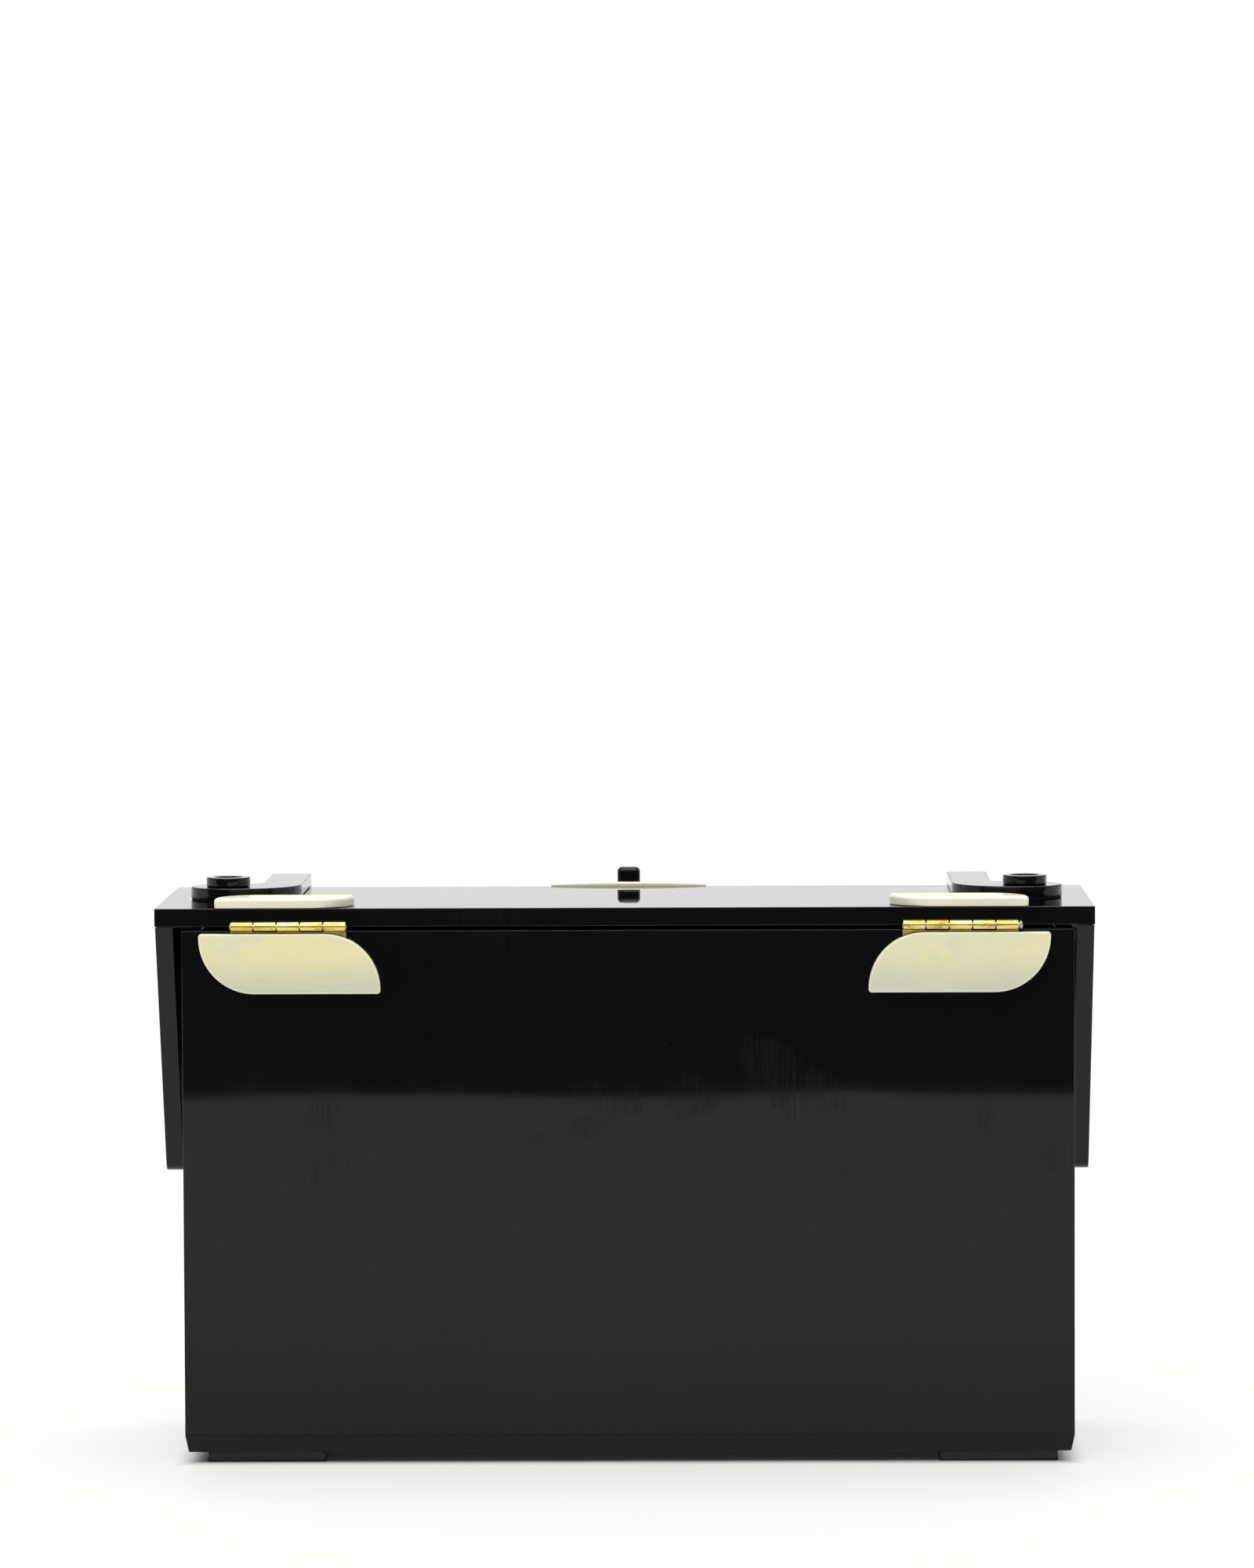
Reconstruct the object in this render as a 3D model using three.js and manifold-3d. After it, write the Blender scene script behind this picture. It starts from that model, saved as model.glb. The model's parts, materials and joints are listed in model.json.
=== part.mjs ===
// A black acrylic vanity case: a flat box on four low feet, a lid with side flaps on two brass
// butt hinges, pearl cover plates over the hinges, two arms that carry a swinging bail handle,
// and a turn-bar clasp. Millimetres, +Z up, hinges at +Y, clasp and handle at -Y.
// The origin lies on the ground under the middle of the whole object's box.
import * as THREE from "three";
import { mergeVertices } from "three/addons/utils/BufferGeometryUtils.js";
import Module from "manifold-3d";

const wasm = await Module();
wasm.setup();

// Driving dimensions. Heights are above the ground, depths are from the middle of the lid.
const SHEET = 4.76; // thickness of the acrylic sheet that the panels are cut from
const GLUE = 0.1; // glue line between panels
const FILM = 0.05; // glue film under small parts
const LID_WIDTH = 243;
const LID_DEPTH = 78;
const LID_TOP = 144.4;
const CASE_WIDTH = 230.7;
const CASE_SHIFT = -0.85; // the case stands this far off the middle of the lid
const CASE_FRONT_INSET = 0.6; // how far the lid overhangs the front panel
const CASE_TOP = 138.6;
const FLOOR_TOP = 7.5;
const FLOOR_TAPER = { inset: 0.85, height: 4.2 }; // how the underside of the floor plate is drawn in
const FOOT_HEIGHT = 2.9;
const FOOT_WIDTH = 31;
const FOOT_DEPTH = 14;
const FOOT_OUTER = 110.5; // outer edge of a foot from the middle of the case
const FOOT_INSET = 3;
const FEET_SHIFT = -1.55; // the feet stand this far off the middle of the lid
const FLAP_SHEET = 4.7;
const FLAP_INSET = 0.15;
const FLAP_BOTTOM = 72.9;
const FLAP_TIP_WIDTH = 15;
const FLAP_CORNER = 4;
const FLAP_GUIDE = { front: -6, rear: 2, bottom: 78, play: 0.12 };
const HINGE_X = 86.8; // middle of a hinge from the middle of the case
const HINGE_LENGTH = 30;
const HINGE_KNUCKLES = 5;
const KNUCKLE_GAP = 0.25;
const BARREL_RADIUS = 1.25;
const HINGE_BORE_RADIUS = 0.75;
const HINGE_PIN_RADIUS = 0.65;
const BARREL_STANDOFF = 1.7; // barrel axis behind the rear face of the case
const BARREL_HEIGHT = 139.8;
const LEAF_SHEET = 0.8;
const CASE_LEAF_BOTTOM = 126.9;
const CASE_LEAF_TOP = 137.8;
const LID_LEAF_REACH = 14; // how far the lid leaf reaches in from the rear edge
const COVER_SHEET = 2.6;
const REAR_COVER = { inner: 63, outer: 110, bottom: 122.4, top: 138, arc: 14.5 };
const TOP_COVER = { inner: 69.5, outer: 105.2, depth: 13, arc: 11.5 };
const TOP_COVER_SHIFT = 0.8; // the top covers stand this far off the middle of the lid
const SHARP_CORNER = 0.5;
const COVER_POCKET_DEPTH = 1.2;
const RIVET_SPREAD = 9; // rivets stand this far to each side of a hinge's middle
const RIVET_RADIUS = 0.85;
const RIVET_HEAD_RADIUS = 1.5;
const RIVET_HEAD = 0.35;
const HOLE_CLEARANCE = 0.15;
const ARM_DISC_X = 104.8;
const ARM_DISC_Y = 3.3;
const ARM_DISC_RADIUS = 9.8;
const ARM_INNER = 85.8;
const ARM_OUTER = 96.4;
const ARM_FRONT = -44;
const ARM_ELBOW_RADIUS = 16;
const ARM_FILLET = 4;
const ARM_SHEET = 3.05;
const ARM_LIFT = 0.25;
const BOSS_RADIUS = 5.75;
const BOSS_HEIGHT = 2.4;
const BOSS_FLOOR = 0.8;
const BOSS_RECESS_RADIUS = 3.55;
const ARM_SCREW_RADIUS = 1.4;
const ARM_SCREW_HEAD_RADIUS = 3;
const ARM_SCREW_HEAD = 1;
const HANDLE_PIN_Y = -43.4;
const HANDLE_PIN_Z = 140.5;
const HANDLE_PIN_RADIUS = 1.2;
const PIVOT_BLOCK_OUTER = 96.1;
const PIVOT_BLOCK_RADIUS = 3.8;
const BAIL_OUTER = 85.4;
const BAIL_LEG_WIDTH = 8;
const BAIL_SHEET = 6;
const BAIL_BOTTOM = 65;
const BAIL_GRIP_HEIGHT = 13;
const BAIL_OUTER_CORNER = 26;
const BAIL_INNER_CORNER = 17;
const CLASP_PLATE_WIDTH = 41.8;
const CLASP_PLATE_BOTTOM = 129.4;
const CLASP_PLATE_END_TOP = 145.1;
const CLASP_PLATE_CREST = 145.45;
const CLASP_PIVOT_HEIGHT = 136.4;
const CLASP_PIVOT_RADIUS = 1.2;
const CLASP_BAR_WIDTH = 6.1;
const CLASP_BAR_SHEET = 3.2;
const CLASP_BAR_TOP = 149.3;
const CLASP_BAR_BOTTOM = 117;
const KEEPER_WIDTH = 16;
const KEEPER_BOTTOM = 112;
const KEEPER_TOP = 126.4;
const KEEPER_SHEET = 3;
const MIRROR = { width: 150, front: -28, rear: 20, sheet: 2 };
const LID_REST = { middle: 64, width: 8, depth: 3, height: 0.85 };
const ROUND = 24; // sides of a visible round
const SMALL_ROUND = 12; // sides of a rivet or a screw

// Dimensions that follow from them.
const REAR = LID_DEPTH / 2;
const FRONT = -LID_DEPTH / 2;
const LID_UNDER = LID_TOP - SHEET;
const CASE_FRONT = FRONT + CASE_FRONT_INSET;
const CASE_SIDE = CASE_WIDTH / 2;
const HINGE_Y = REAR + BARREL_STANDOFF;
const HINGE_INNER = HINGE_X - HINGE_LENGTH / 2;
const HINGE_OUTER = HINGE_X + HINGE_LENGTH / 2;
const KNUCKLE_PITCH = HINGE_LENGTH / HINGE_KNUCKLES;
const ARM_BOTTOM = LID_TOP + ARM_LIFT;
const ARM_TOP = ARM_BOTTOM + ARM_SHEET;
const BOSS_BOTTOM = ARM_TOP + FILM;
const CLASP_PLATE_FRONT = FRONT - GLUE - COVER_SHEET;
const BAR_REAR = CLASP_PLATE_FRONT - 0.3;
const REAR_REACH = HINGE_Y + BARREL_RADIUS;
const FRONT_REACH = PIVOT_BLOCK_RADIUS - HANDLE_PIN_Y;

const black = () => new THREE.MeshStandardMaterial({ color: 0x0b0a0c, roughness: 0.06 });
const pearl = () => new THREE.MeshStandardMaterial({ color: 0xece5c8, roughness: 0.3 });
const brass = () =>
  new THREE.MeshStandardMaterial({ color: 0xcdaa55, roughness: 0.35, metalness: 1 });
const silver = () =>
  new THREE.MeshStandardMaterial({ color: 0xe8eaec, roughness: 0.03, metalness: 1 });
const rubber = () => new THREE.MeshStandardMaterial({ color: 0x1a1a1b, roughness: 0.8 });

function piece(name, geometry, material) {
  const mesh = new THREE.Mesh(geometry, material);
  mesh.name = name;
  return mesh;
}

// A box between two limits along each axis.
function box([x0, x1], [y0, y1], [z0, z1]) {
  const geometry = new THREE.BoxGeometry(x1 - x0, y1 - y0, z1 - z0);
  return geometry.translate((x0 + x1) / 2, (y0 + y1) / 2, (z0 + z1) / 2);
}

// A rectangle with one radius per corner, from the low corner round anticlockwise.
function cornered([u0, u1], [v0, v1], [r0, r1, r2, r3]) {
  const outline = new THREE.Shape();
  outline.absarc(u0 + r0, v0 + r0, r0, Math.PI, 1.5 * Math.PI);
  outline.absarc(u1 - r1, v0 + r1, r1, 1.5 * Math.PI, 2 * Math.PI);
  outline.absarc(u1 - r2, v1 - r2, r2, 0, 0.5 * Math.PI);
  outline.absarc(u0 + r3, v1 - r3, r3, 0.5 * Math.PI, Math.PI);
  return outline;
}

// Outlines become plates: lying flat (XY), facing the rear (XZ) or facing the side (YZ).
function extrude(outline, thickness, curveSegments) {
  const options = { depth: thickness, bevelEnabled: false, curveSegments };
  return new THREE.ExtrudeGeometry(outline, options);
}

function flatPlate(outline, [z0, z1], curveSegments = 8) {
  return extrude(outline, z1 - z0, curveSegments).translate(0, 0, z0);
}

function facingPlate(outline, [y0, y1], curveSegments = 8) {
  return extrude(outline, y1 - y0, curveSegments)
    .rotateX(Math.PI / 2)
    .translate(0, y1, 0);
}

function sidePlate(outline, [x0, x1], curveSegments = 8) {
  const turn = new THREE.Matrix4().makeBasis(
    new THREE.Vector3(0, 1, 0),
    new THREE.Vector3(0, 0, 1),
    new THREE.Vector3(1, 0, 0),
  );
  return extrude(outline, x1 - x0, curveSegments).applyMatrix4(turn).translate(x0, 0, 0);
}

// Rods along each axis, between two limits.
function rodX(radius, [x0, x1], y, z, sides = ROUND) {
  return new THREE.CylinderGeometry(radius, radius, x1 - x0, sides)
    .rotateZ(Math.PI / 2)
    .translate((x0 + x1) / 2, y, z);
}

function rodY(radius, x, [y0, y1], z, sides = ROUND) {
  return new THREE.CylinderGeometry(radius, radius, y1 - y0, sides).translate(x, (y0 + y1) / 2, z);
}

function rodZ(radius, x, y, [z0, z1], sides = ROUND) {
  return new THREE.CylinderGeometry(radius, radius, z1 - z0, sides)
    .rotateX(Math.PI / 2)
    .translate(x, y, (z0 + z1) / 2);
}

// A turned piece: its profile is a list of [radius, height] from the low end to the high end.
function turned(profile, sides) {
  const points = profile.map(([radius, height]) => new THREE.Vector2(radius, height));
  return new THREE.LatheGeometry(points, sides);
}

// Joins and cuts.
function solidOf(geometry) {
  const bare = new THREE.BufferGeometry();
  bare.setAttribute("position", geometry.getAttribute("position"));
  if (geometry.index) bare.setIndex(geometry.index);
  const merged = mergeVertices(bare, 1e-4);
  const mesh = new wasm.Mesh({
    numProp: 3,
    vertProperties: merged.getAttribute("position").array,
    triVerts: new Uint32Array(merged.index.array),
  });
  return new wasm.Manifold(mesh);
}

function geometryOf(solid) {
  const mesh = solid.getMesh();
  const geometry = new THREE.BufferGeometry();
  geometry.setAttribute("position", new THREE.BufferAttribute(mesh.vertProperties, 3));
  geometry.setIndex(new THREE.BufferAttribute(mesh.triVerts, 1));
  return geometry;
}

function join(...geometries) {
  return geometryOf(geometries.map(solidOf).reduce((whole, next) => whole.add(next)));
}

function cut(geometry, ...tools) {
  return geometryOf(tools.map(solidOf).reduce((rest, tool) => rest.subtract(tool), solidOf(geometry)));
}

const rivetPlaces = [
  ["inner", HINGE_X - RIVET_SPREAD],
  ["outer", HINGE_X + RIVET_SPREAD],
];
const rivetHole = RIVET_RADIUS + HOLE_CLEARANCE;
const caseRivetZ = (CASE_LEAF_BOTTOM + CASE_LEAF_TOP) / 2;
const lidRivetY = REAR - LID_LEAF_REACH / 2 - 1.5;

// ---- Case ----

function floorPlate() {
  const { inset, height } = FLOOR_TAPER;
  const [bottom, top] = [FOOT_HEIGHT, FLOOR_TOP];
  const straight = bottom + height;
  const half = CASE_SIDE;
  const across = new THREE.Shape([
    new THREE.Vector2(inset - half, bottom),
    new THREE.Vector2(half - inset, bottom),
    new THREE.Vector2(half, straight),
    new THREE.Vector2(half, top),
    new THREE.Vector2(-half, top),
    new THREE.Vector2(-half, straight),
  ]);
  const along = new THREE.Shape([
    new THREE.Vector2(CASE_FRONT + inset, bottom),
    new THREE.Vector2(REAR - inset, bottom),
    new THREE.Vector2(REAR, straight),
    new THREE.Vector2(REAR, top),
    new THREE.Vector2(CASE_FRONT, top),
    new THREE.Vector2(CASE_FRONT, straight),
  ]);
  const tapered = solidOf(facingPlate(across, [CASE_FRONT, REAR]));
  return geometryOf(tapered.intersect(solidOf(sidePlate(along, [-half, half]))));
}

function backPanel() {
  const panel = box([-CASE_SIDE, CASE_SIDE], [REAR - SHEET, REAR], [FLOOR_TOP + GLUE, CASE_TOP]);
  const holes = [1, -1].flatMap((mirror) =>
    rivetPlaces.map(([, x]) =>
      rodY(rivetHole, mirror * x - CASE_SHIFT, [REAR - 3.8, REAR + 1], caseRivetZ, SMALL_ROUND),
    ),
  );
  return cut(panel, ...holes);
}

function frontPanel() {
  return box(
    [-CASE_SIDE, CASE_SIDE],
    [CASE_FRONT, CASE_FRONT + SHEET],
    [FLOOR_TOP + GLUE, CASE_TOP],
  );
}

function sidePanel() {
  return box(
    [CASE_SIDE - SHEET, CASE_SIDE],
    [CASE_FRONT + SHEET + GLUE, REAR - SHEET - GLUE],
    [FLOOR_TOP + GLUE, CASE_TOP],
  );
}

function foot(rear) {
  return box([FOOT_OUTER - FOOT_WIDTH, FOOT_OUTER], [rear - FOOT_DEPTH, rear], [0, FOOT_HEIGHT - GLUE]);
}

// ---- Hinges ----

// Knuckles of one leaf: every second one, joined to the leaf by tabs and bored for the pin.
function knuckledLeaf(leaf, first, tabOf) {
  const pieces = [leaf];
  for (let i = first; i < HINGE_KNUCKLES; i += 2) {
    const start = HINGE_INNER + i * KNUCKLE_PITCH + KNUCKLE_GAP / 2;
    const span = [start, start + KNUCKLE_PITCH - KNUCKLE_GAP];
    pieces.push(rodX(BARREL_RADIUS, span, HINGE_Y, BARREL_HEIGHT));
    pieces.push(tabOf(span));
  }
  const bore = rodX(HINGE_BORE_RADIUS, [HINGE_INNER - 1, HINGE_OUTER + 1], HINGE_Y, BARREL_HEIGHT);
  return cut(join(...pieces), bore);
}

function caseLeaf() {
  const faces = [REAR + FILM, REAR + FILM + LEAF_SHEET];
  const leaf = box([HINGE_INNER, HINGE_OUTER], faces, [CASE_LEAF_BOTTOM, CASE_LEAF_TOP]);
  const tabOf = (span) => box(span, faces, [CASE_LEAF_TOP - 0.5, BARREL_HEIGHT - 0.3]);
  const through = [REAR - 1, REAR + 2];
  const holes = rivetPlaces.map(([, x]) => rodY(rivetHole, x, through, caseRivetZ, SMALL_ROUND));
  return cut(knuckledLeaf(leaf, 0, tabOf), ...holes);
}

function lidLeaf() {
  const faces = [LID_UNDER - FILM - LEAF_SHEET, LID_UNDER - FILM];
  const rearEdge = REAR - 0.3;
  const leaf = box([HINGE_INNER, HINGE_OUTER], [REAR - LID_LEAF_REACH, rearEdge], faces);
  const tabOf = (span) => box(span, [rearEdge - 0.5, HINGE_Y - HINGE_BORE_RADIUS - 0.15], faces);
  const holes = rivetPlaces.map(([, x]) =>
    rodZ(rivetHole, x, lidRivetY, [LID_UNDER - 2, LID_UNDER + 1], SMALL_ROUND),
  );
  return cut(knuckledLeaf(leaf, 1, tabOf), ...holes);
}

// A pin with a round head at its outer end, or cut off flush.
function hingePin(headed) {
  const start = HINGE_INNER - 0.1;
  const end = HINGE_OUTER + 0.15;
  const head = [
    [1.2, end],
    [1.05, end + 0.5],
    [0.6, end + 0.9],
    [0, end + 1],
  ];
  const profile = [
    [0, start],
    [HINGE_PIN_RADIUS, start],
    [HINGE_PIN_RADIUS, end],
    ...(headed ? head : [[0, end]]),
  ];
  return turned(profile, ROUND).rotateZ(-Math.PI / 2).translate(0, HINGE_Y, BARREL_HEIGHT);
}

// A rivet standing on its head, with its head's face at height 0.
function rivet(length) {
  const profile = [
    [0, 0],
    [RIVET_HEAD_RADIUS, 0.1],
    [RIVET_HEAD_RADIUS, RIVET_HEAD],
    [RIVET_RADIUS, RIVET_HEAD],
    [RIVET_RADIUS, length],
    [0, length],
  ];
  return turned(profile, SMALL_ROUND);
}

function caseRivet(x) {
  const face = REAR + FILM + LEAF_SHEET + FILM;
  return rivet(4.2)
    .rotateX(Math.PI)
    .translate(x, face + RIVET_HEAD, caseRivetZ);
}

function lidRivet(x) {
  const face = LID_UNDER - FILM - LEAF_SHEET - FILM;
  return rivet(LID_TOP - face + RIVET_HEAD - FILM)
    .rotateX(Math.PI / 2)
    .translate(x, lidRivetY, face - RIVET_HEAD);
}

// ---- Cover plates ----

function rearCover() {
  const { inner, outer, bottom, top, arc } = REAR_COVER;
  const outline = cornered([inner, outer], [bottom, top], [SHARP_CORNER, arc, SHARP_CORNER, arc]);
  const plate = facingPlate(outline, [REAR + GLUE, REAR + GLUE + COVER_SHEET]);
  const pocket = box(
    [HINGE_INNER - 0.5, HINGE_OUTER + 0.5],
    [REAR - 1, REAR + GLUE + COVER_POCKET_DEPTH],
    [CASE_LEAF_BOTTOM - 0.6, top + 1],
  );
  return cut(plate, pocket);
}

function topCover() {
  const { inner, outer, depth, arc } = TOP_COVER;
  const outline = cornered(
    [inner, outer],
    [REAR - depth, REAR],
    [SHARP_CORNER, arc, SHARP_CORNER, arc],
  );
  return flatPlate(outline, [LID_TOP + GLUE, LID_TOP + GLUE + COVER_SHEET]);
}

// ---- Lid ----

function lidPlate() {
  const plate = box([-LID_WIDTH / 2, LID_WIDTH / 2], [FRONT, REAR], [LID_UNDER, LID_TOP]);
  const holes = [1, -1].flatMap((mirror) => [
    ...rivetPlaces.map(([, x]) =>
      rodZ(rivetHole, mirror * x, lidRivetY, [LID_UNDER - 1, LID_TOP + 1], SMALL_ROUND),
    ),
    rodZ(
      ARM_SCREW_RADIUS + HOLE_CLEARANCE,
      mirror * ARM_DISC_X,
      ARM_DISC_Y,
      [LID_UNDER + 0.5, LID_TOP + 1],
      SMALL_ROUND,
    ),
  ]);
  return cut(plate, ...holes);
}

// A flap is widest under the lid and tapers evenly down to a tip with round corners.
function lidFlap() {
  const top = LID_UNDER - GLUE;
  const tip = FLAP_TIP_WIDTH / 2;
  const lean = Math.atan2(REAR - tip, top - FLAP_BOTTOM);
  const outline = new THREE.Shape();
  const cornerY = tip - FLAP_CORNER * Math.tan(Math.PI / 4 - lean / 2);
  outline.moveTo(REAR, top);
  outline.lineTo(FRONT, top);
  outline.absarc(-cornerY, FLAP_BOTTOM + FLAP_CORNER, FLAP_CORNER, Math.PI + lean, 1.5 * Math.PI);
  outline.absarc(cornerY, FLAP_BOTTOM + FLAP_CORNER, FLAP_CORNER, 1.5 * Math.PI, 2 * Math.PI - lean);
  const outer = LID_WIDTH / 2 - FLAP_INSET;
  return sidePlate(outline, [outer - FLAP_SHEET, outer]);
}

// A strip in the flap on the lid's wide side, which takes up the play beside the case.
function flapGuide() {
  const wall = LID_WIDTH / 2 - FLAP_INSET - FLAP_SHEET - GLUE;
  const { front, rear, bottom, play } = FLAP_GUIDE;
  const outline = cornered([front, rear], [bottom, LID_UNDER - 1], [2, 2, 0.5, 0.5]);
  return sidePlate(outline, [CASE_SIDE + CASE_SHIFT + play, wall], 4);
}

function lidMirror() {
  const half = MIRROR.width / 2;
  const outline = cornered([-half, half], [MIRROR.front, MIRROR.rear], [3, 3, 3, 3]);
  return flatPlate(outline, [LID_UNDER - GLUE - MIRROR.sheet, LID_UNDER - GLUE], 4);
}

function lidRest() {
  const { middle, width, depth, height } = LID_REST;
  const y = CASE_FRONT + SHEET / 2;
  return box(
    [middle - width / 2, middle + width / 2],
    [y - depth / 2, y + depth / 2],
    [CASE_TOP + FILM, CASE_TOP + FILM + height],
  );
}

// ---- Handle arms ----

// A disc at the outer end, an elbow inwards, and a straight leg forwards past the lid's edge.
function arm() {
  const [x, y, r] = [ARM_DISC_X, ARM_DISC_Y, ARM_DISC_RADIUS];
  const outline = new THREE.Shape();
  outline.moveTo(ARM_INNER, ARM_FRONT);
  outline.lineTo(ARM_OUTER, ARM_FRONT);
  outline.absarc(ARM_OUTER + ARM_FILLET, y - r - ARM_FILLET, ARM_FILLET, Math.PI, Math.PI / 2, true);
  outline.absarc(x, y, r, -Math.PI / 2, Math.PI / 2);
  const elbow = [ARM_INNER + ARM_ELBOW_RADIUS, y + r - ARM_ELBOW_RADIUS];
  outline.absarc(...elbow, ARM_ELBOW_RADIUS, Math.PI / 2, Math.PI);
  const plate = flatPlate(outline, [ARM_BOTTOM, ARM_TOP]);
  const through = [ARM_BOTTOM - 1, ARM_TOP + 1];
  return cut(plate, rodZ(ARM_SCREW_RADIUS + HOLE_CLEARANCE, x, y, through, SMALL_ROUND));
}

function armWasher() {
  const hole = ARM_SCREW_RADIUS + HOLE_CLEARANCE;
  const [low, high] = [LID_TOP + FILM, ARM_BOTTOM - FILM];
  const profile = [
    [hole, low],
    [ARM_DISC_RADIUS - 0.2, low],
    [ARM_DISC_RADIUS - 0.2, high],
    [hole, high],
    [hole, low],
  ];
  return turned(profile, ROUND).rotateX(Math.PI / 2).translate(ARM_DISC_X, ARM_DISC_Y, 0);
}

function armBoss() {
  const hole = ARM_SCREW_RADIUS + HOLE_CLEARANCE;
  const top = BOSS_BOTTOM + BOSS_HEIGHT;
  const profile = [
    [hole, BOSS_BOTTOM],
    [BOSS_RADIUS, BOSS_BOTTOM],
    [BOSS_RADIUS, top - 0.4],
    [BOSS_RADIUS - 0.4, top],
    [BOSS_RECESS_RADIUS, top],
    [BOSS_RECESS_RADIUS, BOSS_BOTTOM + BOSS_FLOOR],
    [hole, BOSS_BOTTOM + BOSS_FLOOR],
    [hole, BOSS_BOTTOM],
  ];
  return turned(profile, ROUND).rotateX(Math.PI / 2).translate(ARM_DISC_X, ARM_DISC_Y, 0);
}

function armScrew() {
  const seat = BOSS_BOTTOM + BOSS_FLOOR + FILM;
  const profile = [
    [0, LID_UNDER + 1],
    [ARM_SCREW_RADIUS, LID_UNDER + 1.6],
    [ARM_SCREW_RADIUS, seat],
    [ARM_SCREW_HEAD_RADIUS, seat],
    [ARM_SCREW_HEAD_RADIUS, seat + ARM_SCREW_HEAD * 0.6],
    [ARM_SCREW_HEAD_RADIUS - 0.7, seat + ARM_SCREW_HEAD],
    [0, seat + ARM_SCREW_HEAD],
  ];
  const screw = turned(profile, SMALL_ROUND)
    .rotateX(Math.PI / 2)
    .translate(ARM_DISC_X, ARM_DISC_Y, 0);
  const slot = box(
    [ARM_DISC_X - 0.4, ARM_DISC_X + 0.4],
    [ARM_DISC_Y - 4, ARM_DISC_Y + 4],
    [seat + ARM_SCREW_HEAD - 0.4, seat + ARM_SCREW_HEAD + 1],
  );
  return cut(screw, slot);
}

// ---- Handle ----

const pinBore = HANDLE_PIN_RADIUS + 0.1;

function pivotBlock() {
  const r = PIVOT_BLOCK_RADIUS;
  const outline = new THREE.Shape();
  outline.moveTo(HANDLE_PIN_Y + r, ARM_BOTTOM - GLUE);
  outline.lineTo(HANDLE_PIN_Y - r, ARM_BOTTOM - GLUE);
  outline.absarc(HANDLE_PIN_Y, HANDLE_PIN_Z, r, Math.PI, 2 * Math.PI);
  const span = [ARM_INNER, PIVOT_BLOCK_OUTER];
  const bore = rodX(pinBore, [ARM_INNER - 1, PIVOT_BLOCK_OUTER + 1], HANDLE_PIN_Y, HANDLE_PIN_Z);
  return cut(sidePlate(outline, span, 12), bore);
}

function handlePin() {
  const legInner = BAIL_OUTER - BAIL_LEG_WIDTH;
  const profile = [
    [0, legInner - 1.1],
    [1.4, legInner - 0.95],
    [2.2, legInner - 0.3],
    [2.2, legInner - 0.2],
    [HANDLE_PIN_RADIUS, legInner - 0.2],
    [HANDLE_PIN_RADIUS, PIVOT_BLOCK_OUTER],
    [0, PIVOT_BLOCK_OUTER],
  ];
  return turned(profile, ROUND).rotateZ(-Math.PI / 2).translate(0, HANDLE_PIN_Y, HANDLE_PIN_Z);
}

// The bail hangs down from its pins: two legs and a grip across the bottom.
function bail() {
  const faces = [HANDLE_PIN_Y - BAIL_SHEET / 2, HANDLE_PIN_Y + BAIL_SHEET / 2];
  const inner = BAIL_OUTER - BAIL_LEG_WIDTH;
  const gripTop = BAIL_BOTTOM + BAIL_GRIP_HEIGHT;
  const [R, r] = [BAIL_OUTER_CORNER, BAIL_INNER_CORNER];
  const outline = new THREE.Shape();
  outline.moveTo(-inner, HANDLE_PIN_Z);
  outline.lineTo(-BAIL_OUTER, HANDLE_PIN_Z);
  outline.absarc(R - BAIL_OUTER, BAIL_BOTTOM + R, R, Math.PI, 1.5 * Math.PI);
  outline.absarc(BAIL_OUTER - R, BAIL_BOTTOM + R, R, 1.5 * Math.PI, 2 * Math.PI);
  outline.lineTo(BAIL_OUTER, HANDLE_PIN_Z);
  outline.lineTo(inner, HANDLE_PIN_Z);
  outline.absarc(inner - r, gripTop + r, r, 2 * Math.PI, 1.5 * Math.PI, true);
  outline.absarc(r - inner, gripTop + r, r, 1.5 * Math.PI, Math.PI, true);
  const eyes = [];
  const bores = [];
  for (const mirror of [1, -1]) {
    const span = [mirror * inner, mirror * BAIL_OUTER].sort((a, b) => a - b);
    eyes.push(rodX(BAIL_SHEET / 2, span, HANDLE_PIN_Y, HANDLE_PIN_Z));
    bores.push(rodX(pinBore, [span[0] - 1, span[1] + 1], HANDLE_PIN_Y, HANDLE_PIN_Z));
  }
  return cut(join(facingPlate(outline, faces, 10), ...eyes), ...bores);
}

// ---- Clasp ----

function claspPlate() {
  const half = CLASP_PLATE_WIDTH / 2;
  const r = 5;
  const outline = new THREE.Shape();
  outline.absarc(r - half, CLASP_PLATE_BOTTOM + r, r, Math.PI, 1.5 * Math.PI);
  outline.absarc(half - r, CLASP_PLATE_BOTTOM + r, r, 1.5 * Math.PI, 2 * Math.PI);
  outline.lineTo(half, CLASP_PLATE_END_TOP);
  const bulge = 2 * CLASP_PLATE_CREST - CLASP_PLATE_END_TOP;
  outline.quadraticCurveTo(0, bulge, -half, CLASP_PLATE_END_TOP);
  const plate = facingPlate(outline, [CLASP_PLATE_FRONT, FRONT - GLUE], 6);
  const bore = rodY(CLASP_PIVOT_RADIUS + 0.15, 0, [CLASP_PLATE_FRONT - 1, FRONT + 1], CLASP_PIVOT_HEIGHT);
  return cut(plate, bore);
}

function claspBar() {
  const half = CLASP_BAR_WIDTH / 2;
  const toe = half - 0.05;
  const outline = cornered([-half, half], [CLASP_BAR_BOTTOM, CLASP_BAR_TOP], [toe, toe, 0.9, 0.9]);
  const faces = [BAR_REAR - CLASP_BAR_SHEET, BAR_REAR];
  const bore = rodY(CLASP_PIVOT_RADIUS + 0.1, 0, [faces[0] - 1, faces[1] + 1], CLASP_PIVOT_HEIGHT);
  return cut(facingPlate(outline, faces), bore);
}

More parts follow.
